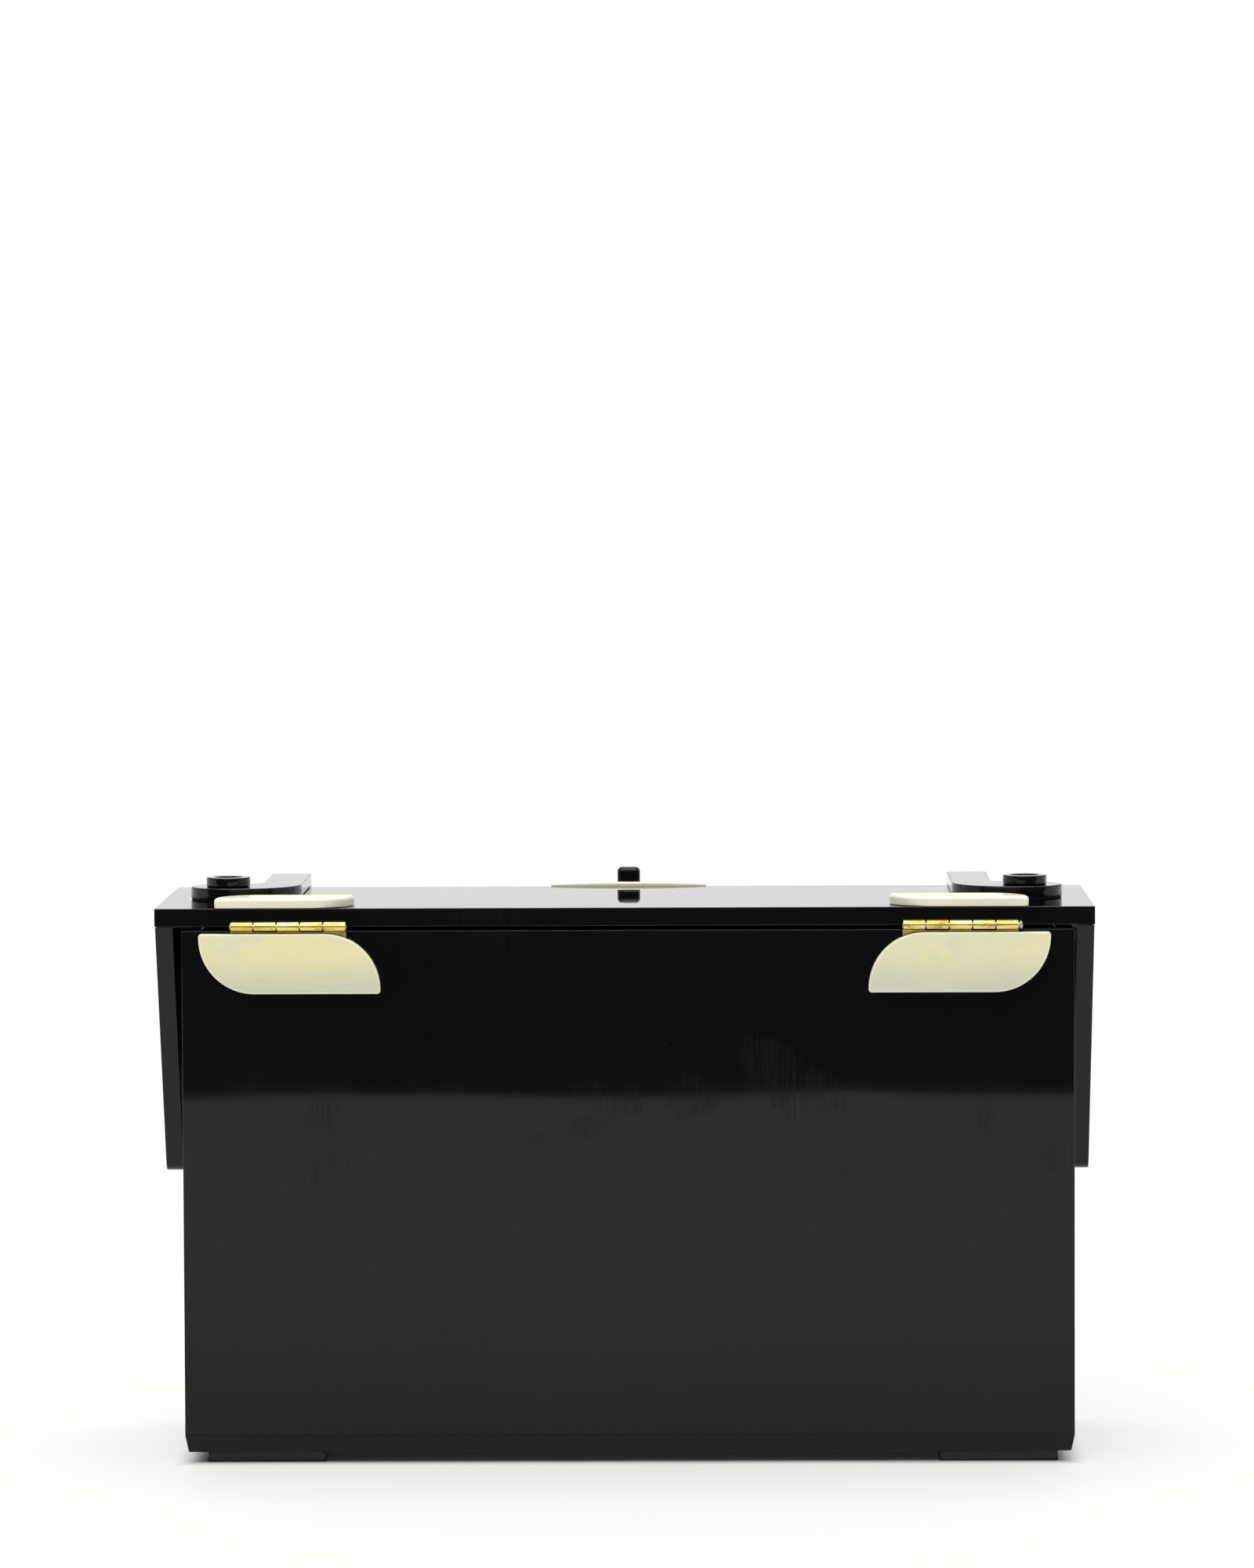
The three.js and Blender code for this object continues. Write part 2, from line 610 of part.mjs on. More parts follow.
function claspPivot() {
  const seat = FRONT - BAR_REAR + CLASP_BAR_SHEET + 0.15;
  const profile = [
    [0, 0.3],
    [CLASP_PIVOT_RADIUS, 0.3],
    [CLASP_PIVOT_RADIUS, seat],
    [2.2, seat],
    [2.2, seat + 0.3],
    [1.5, seat + 0.95],
    [0, seat + 1.2],
  ];
  return turned(profile, ROUND).rotateX(Math.PI).translate(0, FRONT, CLASP_PIVOT_HEIGHT);
}

function claspKeeper() {
  const half = KEEPER_WIDTH / 2;
  const outline = cornered([-half, half], [KEEPER_BOTTOM, KEEPER_TOP], [6, 6, 1.5, 1.5]);
  return facingPlate(outline, [CASE_FRONT - GLUE - KEEPER_SHEET, CASE_FRONT - GLUE], 6);
}

// ---- Assembly: one group for each body that moves ----

const shell = new THREE.Group();
shell.position.x = CASE_SHIFT;
shell.add(
  piece("floor_plate", floorPlate(), black()),
  piece("back_panel", backPanel(), black()),
  piece("front_panel", frontPanel(), black()),
);

const feet = new THREE.Group();
feet.position.x = FEET_SHIFT;

const topCovers = new THREE.Group();
topCovers.position.x = TOP_COVER_SHIFT;

const caseBody = new THREE.Group();
caseBody.add(shell, feet, piece("clasp_keeper", claspKeeper(), pearl()));

const lidBody = new THREE.Group();
lidBody.add(
  topCovers,
  piece("lid_plate", lidPlate(), black()),
  piece("flap_guide", flapGuide(), black()),
  piece("lid_mirror", lidMirror(), silver()),
  piece("clasp_plate", claspPlate(), pearl()),
  piece("clasp_pivot", claspPivot(), brass()),
);

const claspBody = new THREE.Group();
claspBody.add(piece("clasp_bar", claspBar(), black()));

const handleBody = new THREE.Group();
handleBody.add(piece("handle_bail", bail(), black()));

// Left and right are those of a person who faces the clasp. The left half mirrors the right one.
for (const [side, mirror] of [
  ["right", 1],
  ["left", -1],
]) {
  const shellHalf = new THREE.Group();
  shellHalf.scale.x = mirror;
  shellHalf.add(piece("side_panel_" + side, sidePanel(), black()));
  const feetHalf = new THREE.Group();
  feetHalf.scale.x = mirror;
  feetHalf.add(
    piece("foot_rear_" + side, foot(REAR - FOOT_INSET), black()),
    piece("foot_front_" + side, foot(CASE_FRONT + FOOT_INSET + FOOT_DEPTH), black()),
  );
  const topCoverHalf = new THREE.Group();
  topCoverHalf.scale.x = mirror;
  topCoverHalf.add(piece("hinge_cover_top_" + side, topCover(), pearl()));
  const caseHalf = new THREE.Group();
  caseHalf.scale.x = mirror;
  caseHalf.add(
    piece("lid_rest_" + side, lidRest(), rubber()),
    piece("hinge_leaf_case_" + side, caseLeaf(), brass()),
    piece("hinge_pin_" + side, hingePin(side === "left"), brass()),
    piece("hinge_cover_rear_" + side, rearCover(), pearl()),
  );
  const lidHalf = new THREE.Group();
  lidHalf.scale.x = mirror;
  lidHalf.add(
    piece("lid_flap_" + side, lidFlap(), black()),
    piece("hinge_leaf_lid_" + side, lidLeaf(), brass()),
    piece("arm_washer_" + side, armWasher(), rubber()),
    piece("handle_arm_" + side, arm(), black()),
    piece("arm_boss_" + side, armBoss(), black()),
    piece("arm_screw_" + side, armScrew(), brass()),
    piece("pivot_block_" + side, pivotBlock(), black()),
    piece("handle_pin_" + side, handlePin(), brass()),
  );
  for (const [place, x] of rivetPlaces) {
    caseHalf.add(piece("case_rivet_" + side + "_" + place, caseRivet(x), brass()));
    lidHalf.add(piece("lid_rivet_" + side + "_" + place, lidRivet(x), brass()));
  }
  shell.add(shellHalf);
  feet.add(feetHalf);
  topCovers.add(topCoverHalf);
  caseBody.add(caseHalf);
  lidBody.add(lidHalf);
}

const vanityCase = new THREE.Group();
vanityCase.add(caseBody, lidBody, claspBody, handleBody);
vanityCase.position.y = (FRONT_REACH - REAR_REACH) / 2;

export default vanityCase;
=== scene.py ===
"""A black acrylic vanity case on a white table, seen from behind."""

import json
import math

import bmesh
import bpy
from mathutils import Matrix, Vector

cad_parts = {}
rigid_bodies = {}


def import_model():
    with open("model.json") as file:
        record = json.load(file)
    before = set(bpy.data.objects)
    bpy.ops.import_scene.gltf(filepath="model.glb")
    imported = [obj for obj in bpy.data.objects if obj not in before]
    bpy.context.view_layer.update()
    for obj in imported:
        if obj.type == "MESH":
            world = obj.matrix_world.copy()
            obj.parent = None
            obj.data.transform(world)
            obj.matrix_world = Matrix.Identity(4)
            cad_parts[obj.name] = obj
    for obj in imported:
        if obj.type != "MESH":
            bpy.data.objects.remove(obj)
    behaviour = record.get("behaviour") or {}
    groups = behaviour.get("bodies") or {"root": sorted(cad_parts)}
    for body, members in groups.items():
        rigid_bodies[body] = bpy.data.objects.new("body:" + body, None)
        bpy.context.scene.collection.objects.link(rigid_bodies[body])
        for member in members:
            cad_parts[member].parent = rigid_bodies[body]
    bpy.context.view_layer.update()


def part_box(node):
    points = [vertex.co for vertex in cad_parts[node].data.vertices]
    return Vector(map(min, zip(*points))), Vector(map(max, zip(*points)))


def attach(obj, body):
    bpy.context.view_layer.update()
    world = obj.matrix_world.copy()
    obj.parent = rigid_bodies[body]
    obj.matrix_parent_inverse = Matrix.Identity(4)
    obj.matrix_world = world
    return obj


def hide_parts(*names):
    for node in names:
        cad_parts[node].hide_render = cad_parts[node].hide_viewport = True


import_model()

MM = 0.001
SIDES = (("right", 1), ("left", -1))

# Sizes in millimetres that the boxes of the CAD nodes don't give. A rim is the rounding of edges.
GLUE = 0.1  # glue line between sheets
ROUND_STEPS = 64
SHEET_RIM = 0.22
SEAM = 0.04  # rounding and gap where two sheets are glued flush
FLOOR_TAPER = 0.85
FLOOR_TAPER_HEIGHT = 4.2
FLOOR_RIM = 0.35
FOOT_CORNER = 0.8
PAD_CORNER = 1
PAD_RIM = 0.25
KEEPER_CORNER = 6
KEEPER_TOP_CORNER = 1.5
KEEPER_RIM = 0.6

HINGE_KNUCKLES = 5
KNUCKLE_GAP = 0.3
KNUCKLE_RIM = 0.14
KNUCKLE_WRAP = 308  # degrees that the sheet is rolled round the pin
CASE_SEAM = -128  # angle of the seam in a rolled knuckle
LID_SEAM = -58
BARREL_RADIUS = 1.25
PIN_RADIUS = 0.65
PIN_PLAY = 0.03
PIN_HEAD_RADIUS = 1.15
PIN_END_RADIUS = 0.45  # where its chamfer ends
LEAF_SHEET = 0.8
LEAF_RIM = 0.1

LYING_RIM = 0.12  # of a cover plate where it lies on a sheet
REAR_COVER_CORNER = 0.8  # its two sharp corners
REAR_COVER_ARC = 14.5  # its two wide corners
REAR_COVER_RIM = 0.48
TOP_COVER_CORNER = 1.04
TOP_COVER_ARC = 11.5
TOP_COVER_RIM = 0.936
POCKET_DEPTH = 1.2  # of the pocket for the hinge leaf
POCKET_MARGIN = 0.5

FLAP_TIP_HALF = 7.5
FLAP_CORNER = 4
GUIDE_CORNER = 2
GUIDE_TOP_CORNER = 0.5
GUIDE_RIM = 0.15
MIRROR_BEVEL = 3.5
MIRROR_BEVEL_HEIGHT = 0.7
MIRROR_CORNER = 3
MIRROR_INNER_CORNER = 0.6
MIRROR_RIM = 0.08

ARM_DISC_RADIUS = 9.8
ARM_LEG_WIDTH = 10.6
ARM_ELBOW_RADIUS = 16
ARM_FILLET = 4
ARM_RIM = 0.3
WASHER_RIM = 0.06
BOSS_RIM = 0.32
RECESS_RADIUS = 3.55  # of the well in the ring boss
RECESS_FLOOR = 0.8
SCREW_HOLE_RADIUS = 1.6
SCREW_SHANK_RADIUS = 1.4
SCREW_SLOT_HALF = 0.4
SCREW_SLOT_DEPTH = 0.45

BLOCK_RIM = 0.35
BAIL_LEG = 8
BAIL_GRIP = 13
BAIL_OUTER_CORNER = 26
BAIL_INNER_CORNER = 17
BAIL_RIM = 1.1
HANDLE_PIN_RADIUS = 1.2

CLASP_CORNER = 5
CLASP_CROWN = 0.35  # how far the plate's top edge drops towards its ends
CLASP_PLATE_RIM = 0.55
CLASP_BAR_CORNER = 1.3
CLASP_BAR_RIM = 1.2
PIVOT_SHANK_RADIUS = 1.2

# Heights in metres: the rear covers grow greyer towards the lower one, and the case's sheets reflect
# less towards it, a painted shade for the darker floor near the case that they mirror.
REAR_COVER_TONES = (0.134, 0.122)
SHADED_SHEEN_HEIGHTS = (0.008, 0.058)

HAIRLINE_WIDTH = 0.012  # share of the noise's range that a scratch takes up
ACRYLIC_IOR = 1.38


# ---- Meshes ----


def limits(node):
    """Lowest and highest corner of a CAD node, in millimetres."""
    low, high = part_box(node)
    return [v / MM for v in low], [v / MM for v in high]


def right_limits(base, *place):
    """The limits of the right one of two mirrored CAD nodes."""
    return limits("_".join([base, "right", *place]))


def arc(u, v, radius, start, end, steps=20):
    """Points on an arc, with its angles in degrees."""
    angles = [math.radians(start + (end - start) * i / steps) for i in range(steps + 1)]
    return [(u + radius * math.cos(a), v + radius * math.sin(a)) for a in angles]


def cornered(u0, u1, v0, v1, r0, r1, r2, r3):
    """A rectangle with one radius per corner, from the low corner round anticlockwise."""
    return (
        arc(u0 + r0, v0 + r0, r0, 180, 270)
        + arc(u1 - r1, v0 + r1, r1, 270, 360)
        + arc(u1 - r2, v1 - r2, r2, 0, 90)
        + arc(u0 + r3, v1 - r3, r3, 90, 180)
    )


PLANES = {
    "XY": lambda u, v, w: (u, v, w),
    "XZ": lambda u, v, w: (u, w, v),
    "YZ": lambda u, v, w: (w, u, v),
}


def new_mesh():
    mesh = bmesh.new()
    mesh.faces.layers.float.new("edge")
    return mesh


def prism(outline, plane, low, high):
    """An outline in one plane, extruded across it."""
    mesh = new_mesh()
    place = PLANES[plane]
    rings = [[mesh.verts.new(place(u, v, w)) for u, v in outline] for w in (low, high)]
    close_rings(mesh, rings)
    return mesh


def close_rings(mesh, rings):
    """Walls between neighbouring rings of equal length, and a cap at each end."""
    for lower, upper in zip(rings, rings[1:]):
        for i in range(len(lower)):
            j = (i + 1) % len(lower)
            mesh.faces.new((lower[i], lower[j], upper[j], upper[i]))
    mesh.faces.new(rings[0])
    mesh.faces.new(rings[-1])
    bmesh.ops.recalc_face_normals(mesh, faces=mesh.faces)


def slab(x, y, z):
    """A block between two limits along each axis."""
    return prism([(x[0], y[0]), (x[1], y[0]), (x[1], y[1]), (x[0], y[1])], "XY", *z)


def turned(profile, axis, centre, closed=False):
    """A turned piece: its profile is a list of (radius, distance along the axis)."""
    mesh = new_mesh()
    place = {
        "X": lambda a, b, w: (w, a, b),
        "Y": lambda a, b, w: (a, w, b),
        "Z": lambda a, b, w: (a, b, w),
    }[axis]
    rings = []
    for radius, along in profile:
        if radius == 0:
            rings.append([mesh.verts.new(Vector(centre) + Vector(place(0, 0, along)))])
            continue
        ring = arc(0, 0, radius, 0, 360, ROUND_STEPS)[:-1]
        rings.append([mesh.verts.new(Vector(centre) + Vector(place(a, b, along))) for a, b in ring])
    pairs = list(zip(rings, rings[1:]))
    if closed:
        pairs.append((rings[-1], rings[0]))
    for lower, upper in pairs:
        for i in range(ROUND_STEPS):
            j = (i + 1) % ROUND_STEPS
            corners = [lower[i % len(lower)], lower[j % len(lower)]]
            corners += [upper[j % len(upper)], upper[i % len(upper)]]
            mesh.faces.new(list(dict.fromkeys(corners)))
    bmesh.ops.recalc_face_normals(mesh, faces=mesh.faces)
    return mesh


def rounded(mesh, width=SHEET_RIM, segments=3, chosen=None, sharper_than=35):
    """Rounds the sharp edges, and marks the new faces as edge: worn, stained or ground edge in most
    materials, and a painted highlight on the pearl.
    """
    edges = [
        e
        for e in mesh.edges
        if len(e.link_faces) == 2
        and e.calc_face_angle(0) > math.radians(sharper_than)
        and (chosen is None or chosen(e))
    ]
    made = bmesh.ops.bevel(
        mesh,
        geom=edges,
        offset=width,
        offset_type="OFFSET",
        segments=segments,
        profile=0.5,
        affect="EDGES",
        clamp_overlap=True,
    )
    layer = mesh.faces.layers.float["edge"]
    for face in made["faces"]:
        face[layer] = 1
    return mesh


def mesh_data(name, mesh):
    data = bpy.data.meshes.new(name)
    mesh.to_mesh(data)
    return data


def combined(mesh, operation, *tools):
    """The mesh joined with the tools or cut by them."""
    scene_objects = bpy.context.scene.collection.objects
    whole = bpy.data.objects.new("whole", mesh_data("whole", mesh))
    scene_objects.link(whole)
    spare = [whole]
    for tool in tools:
        other = bpy.data.objects.new("tool", mesh_data("tool", tool))
        scene_objects.link(other)
        spare.append(other)
        modifier = whole.modifiers.new("combine", "BOOLEAN")
        modifier.operation = operation
        modifier.solver = "EXACT"
        modifier.object = other
    graph = bpy.context.evaluated_depsgraph_get()
    result = bmesh.new()
    result.from_mesh(whole.evaluated_get(graph).data)
    if not result.faces.layers.float.get("edge"):
        result.faces.layers.float.new("edge")
    for item in spare:
        bpy.data.objects.remove(item)
    return result


def piece(node, mesh, body, material, mirror=1):
    """One finished piece that stands for a CAD node and rides on its body."""
    size = Matrix.Diagonal((mirror * MM, MM, MM, 1))
    bmesh.ops.transform(mesh, matrix=size, verts=mesh.verts)
    bmesh.ops.recalc_face_normals(mesh, faces=mesh.faces)
    for face in mesh.faces:
        face.smooth = True
    item = bpy.data.objects.new(node + "_piece", mesh_data(node + "_piece", mesh))
    bpy.context.scene.collection.objects.link(item)
    item.data.materials.append(material)
    weighted = item.modifiers.new("weighted", "WEIGHTED_NORMAL")
    weighted.mode = "FACE_AREA"
    weighted.weight = 100
    weighted.keep_sharp = True
    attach(item, body)
    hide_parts(node)
    return item


def pair(base, build, body, material, place=()):
    """The right piece and its mirror image on the left."""
    for side, mirror in SIDES:
        piece("_".join([base, side, *place]), build(), body, material, mirror)


# ---- Materials ----


class Nodes:
    """Makes and links the nodes of one material."""

    def __init__(self, tree):
        self.tree = tree

    def add(self, kind, settings=None, **inputs):
        node = self.tree.nodes.new(kind)
        for name, value in (settings or {}).items():
            setattr(node, name, value)
        for name, value in inputs.items():
            self.feed(node.inputs[name.replace("_", " ")], value)
        return node

    def feed(self, socket, value):
        if isinstance(value, bpy.types.NodeSocket):
            self.tree.links.new(value, socket)
        else:
            socket.default_value = value

    def math(self, operation, a, b=0.0):
        node = self.tree.nodes.new("ShaderNodeMath")
        node.operation = operation
        self.feed(node.inputs[0], a)
        self.feed(node.inputs[1], b)
        return node.outputs[0]

    def mix(self, factor, a, b):
        """A mix of two colours."""
        node = self.tree.nodes.new("ShaderNodeMix")
        node.data_type = "RGBA"
        self.feed(node.inputs[0], factor)
        self.feed(node.inputs[6], a)
        self.feed(node.inputs[7], b)
        return node.outputs[2]

    def mapped(self, value, low, high, to_low=0.0, to_high=1.0):
        node = self.add("ShaderNodeMapRange", {"interpolation_type": "SMOOTHSTEP"})
        for i, number in enumerate((value, low, high, to_low, to_high)):
            self.feed(node.inputs[i], number)
        return node.outputs[0]

    def place(self, scale=(1, 1, 1), rotation=(0, 0, 0), location=(0, 0, 0)):
        """The object's own coordinates, in metres, scaled."""
        coordinate = self.tree.nodes.new("ShaderNodeTexCoord")
        mapping = self.tree.nodes.new("ShaderNodeMapping")
        mapping.inputs["Scale"].default_value = scale
        mapping.inputs["Rotation"].default_value = rotation
        mapping.inputs["Location"].default_value = location
        self.tree.links.new(coordinate.outputs["Object"], mapping.inputs["Vector"])
        return mapping.outputs[0]

    def noise(self, vector, scale, detail=3.0, roughness=0.5, distortion=0.0):
        node = self.tree.nodes.new("ShaderNodeTexNoise")
        self.feed(node.inputs["Vector"], vector)
        node.inputs["Scale"].default_value = scale
        node.inputs["Detail"].default_value = detail
        node.inputs["Roughness"].default_value = roughness
        node.inputs["Distortion"].default_value = distortion
        return node.outputs["Fac"]

    def edge(self):
        """One on the rounded edges, zero elsewhere."""
        return self.add("ShaderNodeAttribute", {"attribute_name": "edge"}).outputs["Fac"]

    def hairlines(self, angle, density):
        """Thin scratches that run along one direction and break off."""
        stretched = self.place(scale=(2600, 2600, 24), rotation=(angle, angle, angle * 1.7))
        line = self.noise(stretched, 1.0, 1.0)
        near = self.math("ABSOLUTE", self.math("SUBTRACT", line, 0.5))
        thin = self.mapped(near, 0.0, HAIRLINE_WIDTH, 1.0, 0.0)
        patch = self.mapped(self.noise(self.place(), 45.0, 2.0), 0.62 - 0.05 * density, 0.72, 0.0, 1.0)
        return self.math("MULTIPLY", thin, patch)

    def bump(self, height, distance, normal=None):
        node = self.tree.nodes.new("ShaderNodeBump")
        node.inputs["Distance"].default_value = distance
        self.feed(node.inputs["Height"], height)
        if normal:
            self.feed(node.inputs["Normal"], normal)
        return node.outputs[0]


def new_material(name):
    """A material with a Principled shader on its output."""
    material = bpy.data.materials.new(name)
    material.use_nodes = True
    nodes = Nodes(material.node_tree)
    shader = next(n for n in material.node_tree.nodes if n.type == "BSDF_PRINCIPLED")
    return material, nodes, shader


def acrylic_material(name, smudge_seed, gloss=0.03, scratches=1.0, sawn=0.0, shaded_sheen=0.5):
    """Polished black acrylic: mirror gloss with faint smudges, hairlines, dust and worn edges.

    Faces that look up are dulled by `sawn`, for the cut tops of the panels. The sheen falls to
    `shaded_sheen` towards the ground, where 0.5 is no change; this is a painted shade, for the darker
    floor near the case that the lower sheets mirror."""
    material, n, shader = new_material(name)
    where = n.place(location=(smudge_seed, smudge_seed * 0.7, 0))
    edge = n.edge()
    worn = n.math("MULTIPLY", edge, n.mapped(n.noise(where, 260.0, 3.0), 0.5, 0.68))
    smudge = n.mapped(n.noise(where, 22.0, 4.0, 0.6, 0.6), 0.52, 0.75)
    lines = n.math("MAXIMUM", n.hairlines(0.5, scratches), n.hairlines(1.9, scratches))
    dust = n.add("ShaderNodeTexVoronoi", {"feature": "F1"}, Scale=210.0, Vector=where)
    speck = n.math(
        "MULTIPLY",
        n.mapped(dust.outputs["Distance"], 0.0, 0.035, 1.0, 0.0),
        n.mapped(n.noise(where, 60.0, 2.0), 0.55, 0.6),
    )
    tone = n.mix(n.noise(where, 35.0, 4.0), (0.0013, 0.0009, 0.0010, 1), (0.0021, 0.0015, 0.0016, 1))
    tone = n.mix(n.math("MULTIPLY", smudge, 0.25), tone, (0.004, 0.0038, 0.0038, 1))
    tone = n.mix(n.math("MULTIPLY", lines, 0.2), tone, (0.015, 0.015, 0.015, 1))
    tone = n.mix(n.math("MULTIPLY", speck, 0.8), tone, (0.12, 0.118, 0.115, 1))
    tone = n.mix(n.math("MULTIPLY", worn, 0.5), tone, (0.02, 0.019, 0.018, 1))
    n.feed(shader.inputs["Base Color"], tone)
    rough = n.math("ADD", gloss, n.math("MULTIPLY", smudge, 0.018))
    rough = n.math("ADD", rough, n.math("MULTIPLY", lines, 0.06))
    rough = n.math("ADD", rough, n.math("MULTIPLY", edge, 0.08))
    rough = n.math("ADD", rough, n.math("MULTIPLY", worn, 0.2))
    facing = n.add("ShaderNodeNewGeometry").outputs["Normal"]
    upward = n.add("ShaderNodeSeparateXYZ", Vector=facing).outputs["Z"]
    rough = n.math("ADD", rough, n.mapped(upward, 0.8, 0.95, 0.0, sawn))
    n.feed(shader.inputs["Roughness"], rough)
    shader.inputs["IOR"].default_value = ACRYLIC_IOR
    height = n.add("ShaderNodeSeparateXYZ", Vector=n.place()).outputs["Z"]
    # Painted shade: the sheen weakens towards the ground, for the darker floor near the case that the
    # lower sheets mirror.
    n.feed(shader.inputs["Specular IOR Level"], n.mapped(height, *SHADED_SHEEN_HEIGHTS, shaded_sheen, 0.5))
    wave = n.bump(n.noise(where, 14.0, 1.0), 0.00008)
    n.feed(shader.inputs["Normal"], n.bump(lines, -0.000001, wave))
    return material


PEARL = {  # linear colours: body, yellow and blue-grey clouds, streaks, and the lower end
    "body": (0.84, 0.83, 0.66, 1),
    "yellow": (0.84, 0.79, 0.52, 1),
    "grey": (0.72, 0.74, 0.64, 1),
    "streak": (0.90, 0.89, 0.76, 1),
    "low": (0.84, 0.83, 0.66, 1),
}
PEARL_REAR = {
    "body": (0.81, 0.785, 0.53, 1),
    "yellow": (0.87, 0.805, 0.45, 1),
    "grey": (0.69, 0.70, 0.56, 1),
    "streak": (0.84, 0.82, 0.64, 1),
    "low": (0.60, 0.595, 0.485, 1),
}


def pearl_material(name, seed, tones=PEARL):
    """Cream pearl acrylic: soft yellow and blue-grey clouds, faint nacreous streaks and a gloss."""
    material, n, shader = new_material(name)
    where = n.place(scale=(1, 1, 1.5), location=(seed, 0, seed * 0.3))
    edge = n.edge()
    cloud = n.mapped(n.noise(where, 34.0, 2.0, 0.45, 0.6), 0.40, 0.66)
    haze = n.mapped(n.noise(n.place(location=(0, seed, 3.1)), 50.0, 2.5, 0.5, 0.8), 0.50, 0.72)
    streak = n.noise(n.place(scale=(45, 45, 160), rotation=(0, 0.35, 0)), 1.0, 4.0, 0.55, 1.2)
    height = n.add("ShaderNodeSeparateXYZ", Vector=n.place()).outputs["Z"]
    tone = n.mix(cloud, tones["body"], tones["yellow"])
    tone = n.mix(n.mapped(height, *REAR_COVER_TONES, 0.0, 0.85), tone, tones["low"])
    tone = n.mix(n.math("MULTIPLY", haze, 0.45), tone, tones["grey"])
    tone = n.mix(n.mapped(streak, 0.5, 0.75, 0.0, 0.2), tone, tones["streak"])
    # Painted highlight: the rounded edges are painted lighter.
    tone = n.mix(n.math("MULTIPLY", edge, 0.5), tone, (0.93, 0.92, 0.79, 1))
    grain = n.noise(n.place(), 900.0, 2.0)
    tone = n.mix(n.mapped(grain, 0.55, 0.75, 0.0, 0.16), tone, (0.70, 0.665, 0.47, 1))
    n.feed(shader.inputs["Base Color"], tone)
    n.feed(shader.inputs["Roughness"], n.mapped(streak, 0.3, 0.8, 0.24, 0.36))
    shader.inputs["IOR"].default_value = 1.45
    shader.inputs["Subsurface Weight"].default_value = 0.15
    shader.inputs["Subsurface Radius"].default_value = (1.0, 0.85, 0.55)
    shader.inputs["Subsurface Scale"].default_value = 0.0012
    shader.inputs["Coat Weight"].default_value = 0.4
    shader.inputs["Coat Roughness"].default_value = 0.12
    wave = n.bump(n.noise(where, 120.0, 2.0), 0.00003)
    n.feed(shader.inputs["Normal"], n.bump(streak, 0.000004, wave))
    return material


BRASS = ((0.60, 0.44, 0.085, 1), (0.88, 0.73, 0.29, 1), (0.22, 0.14, 0.03, 1))
BRASS_TARNISHED = ((0.34, 0.31, 0.22, 1), (0.62, 0.58, 0.45, 1), (0.16, 0.13, 0.08, 1))


def brass_material(name, tones):
    """Aged brass: rubbed bright on the rounds, brown in the joints, with scratches along the work."""
    material, n, shader = new_material(name)
    dull, bright, stained = tones
    where = n.place()
    edge = n.edge()
    stain = n.mapped(n.noise(where, 300.0, 4.0, 0.6, 0.5), 0.52, 0.74)
    rub = n.mapped(n.noise(n.place(scale=(120, 900, 900)), 1.0, 2.5), 0.32, 0.68)
    tone = n.mix(rub, dull, bright)
    tone = n.mix(n.math("MULTIPLY", stain, 0.5), tone, stained)
    tone = n.mix(n.math("MULTIPLY", edge, 0.5), tone, stained)
    n.feed(shader.inputs["Base Color"], tone)
    shader.inputs["Metallic"].default_value = 1.0
    rough = n.math("ADD", 0.24, n.math("MULTIPLY", stain, 0.3))
    n.feed(shader.inputs["Roughness"], rough)
    dents = n.bump(n.noise(where, 420.0, 3.0), 0.00006)
    n.feed(shader.inputs["Normal"], n.bump(rub, 0.00001, dents))
    return material


def mirror_material(name):
    """Silvered glass with a faint haze, foxing at the rim and a ground edge."""
    material, n, shader = new_material(name)
    where = n.place()
    edge = n.edge()
    haze = n.mapped(n.noise(where, 30.0, 4.0), 0.5, 0.75)
    fox = n.math("MULTIPLY", n.mapped(n.noise(where, 160.0, 4.0), 0.66, 0.74), 0.25)
    tone = n.mix(haze, (0.90, 0.925, 0.925, 1), (0.87, 0.895, 0.895, 1))
    tone = n.mix(fox, tone, (0.55, 0.52, 0.45, 1))
    tone = n.mix(n.math("MULTIPLY", edge, 0.6), tone, (0.62, 0.72, 0.70, 1))
    n.feed(shader.inputs["Base Color"], tone)
    shader.inputs["Metallic"].default_value = 1.0
    rough = n.math("ADD", 0.012, n.math("MULTIPLY", haze, 0.03))
    n.feed(shader.inputs["Roughness"], n.math("ADD", rough, n.math("MULTIPLY", edge, 0.15)))
    n.feed(shader.inputs["Normal"], n.bump(n.noise(where, 9.0, 1.0), 0.00002))
    return material


def rubber_material(name):
    """Dull black rubber with a fine grain."""
    material, n, shader = new_material(name)
    where = n.place()
    grain = n.noise(where, 1400.0, 3.0)
    tone = n.mix(n.noise(where, 120.0, 4.0), (0.010, 0.010, 0.011, 1), (0.022, 0.021, 0.020, 1))
    n.feed(shader.inputs["Base Color"], tone)
    n.feed(shader.inputs["Roughness"], n.mapped(grain, 0.3, 0.7, 0.62, 0.85))
    n.feed(shader.inputs["Normal"], n.bump(grain, 0.00005))
    return material


black = acrylic_material("black_acrylic", 0.0)
black_worn = acrylic_material("black_acrylic_worn", 2.3, gloss=0.06, scratches=2.0)
black_panel = acrylic_material("black_acrylic_panel", 0.0, sawn=0.5, shaded_sheen=0.39)
pearl = pearl_material("pearl_acrylic", 0.35)
pearl_rear = pearl_material("pearl_acrylic_rear", 0.35, PEARL_REAR)
brass = brass_material("brass", BRASS)
tarnished = brass_material("brass_tarnished", BRASS_TARNISHED)
silver = mirror_material("mirror_glass")
rubber = rubber_material("rubber")


# ---- Case ----


def sheet_piece(node, glued_below=False):
    """A polished sheet. Where it is glued down, its lower edges stay sharp and the joint closes."""
    low, high = limits(node)
    if not glued_below:
        return rounded(slab(*zip(low, high)))
    low[2] -= GLUE - SEAM
    mesh = slab(*zip(low, high))

    def at_the_bottom(edge):
        return all(v.co.z < low[2] + SEAM for v in edge.verts)

    rounded(mesh, chosen=lambda edge: not at_the_bottom(edge))
    return rounded(mesh, SEAM, 1, at_the_bottom)


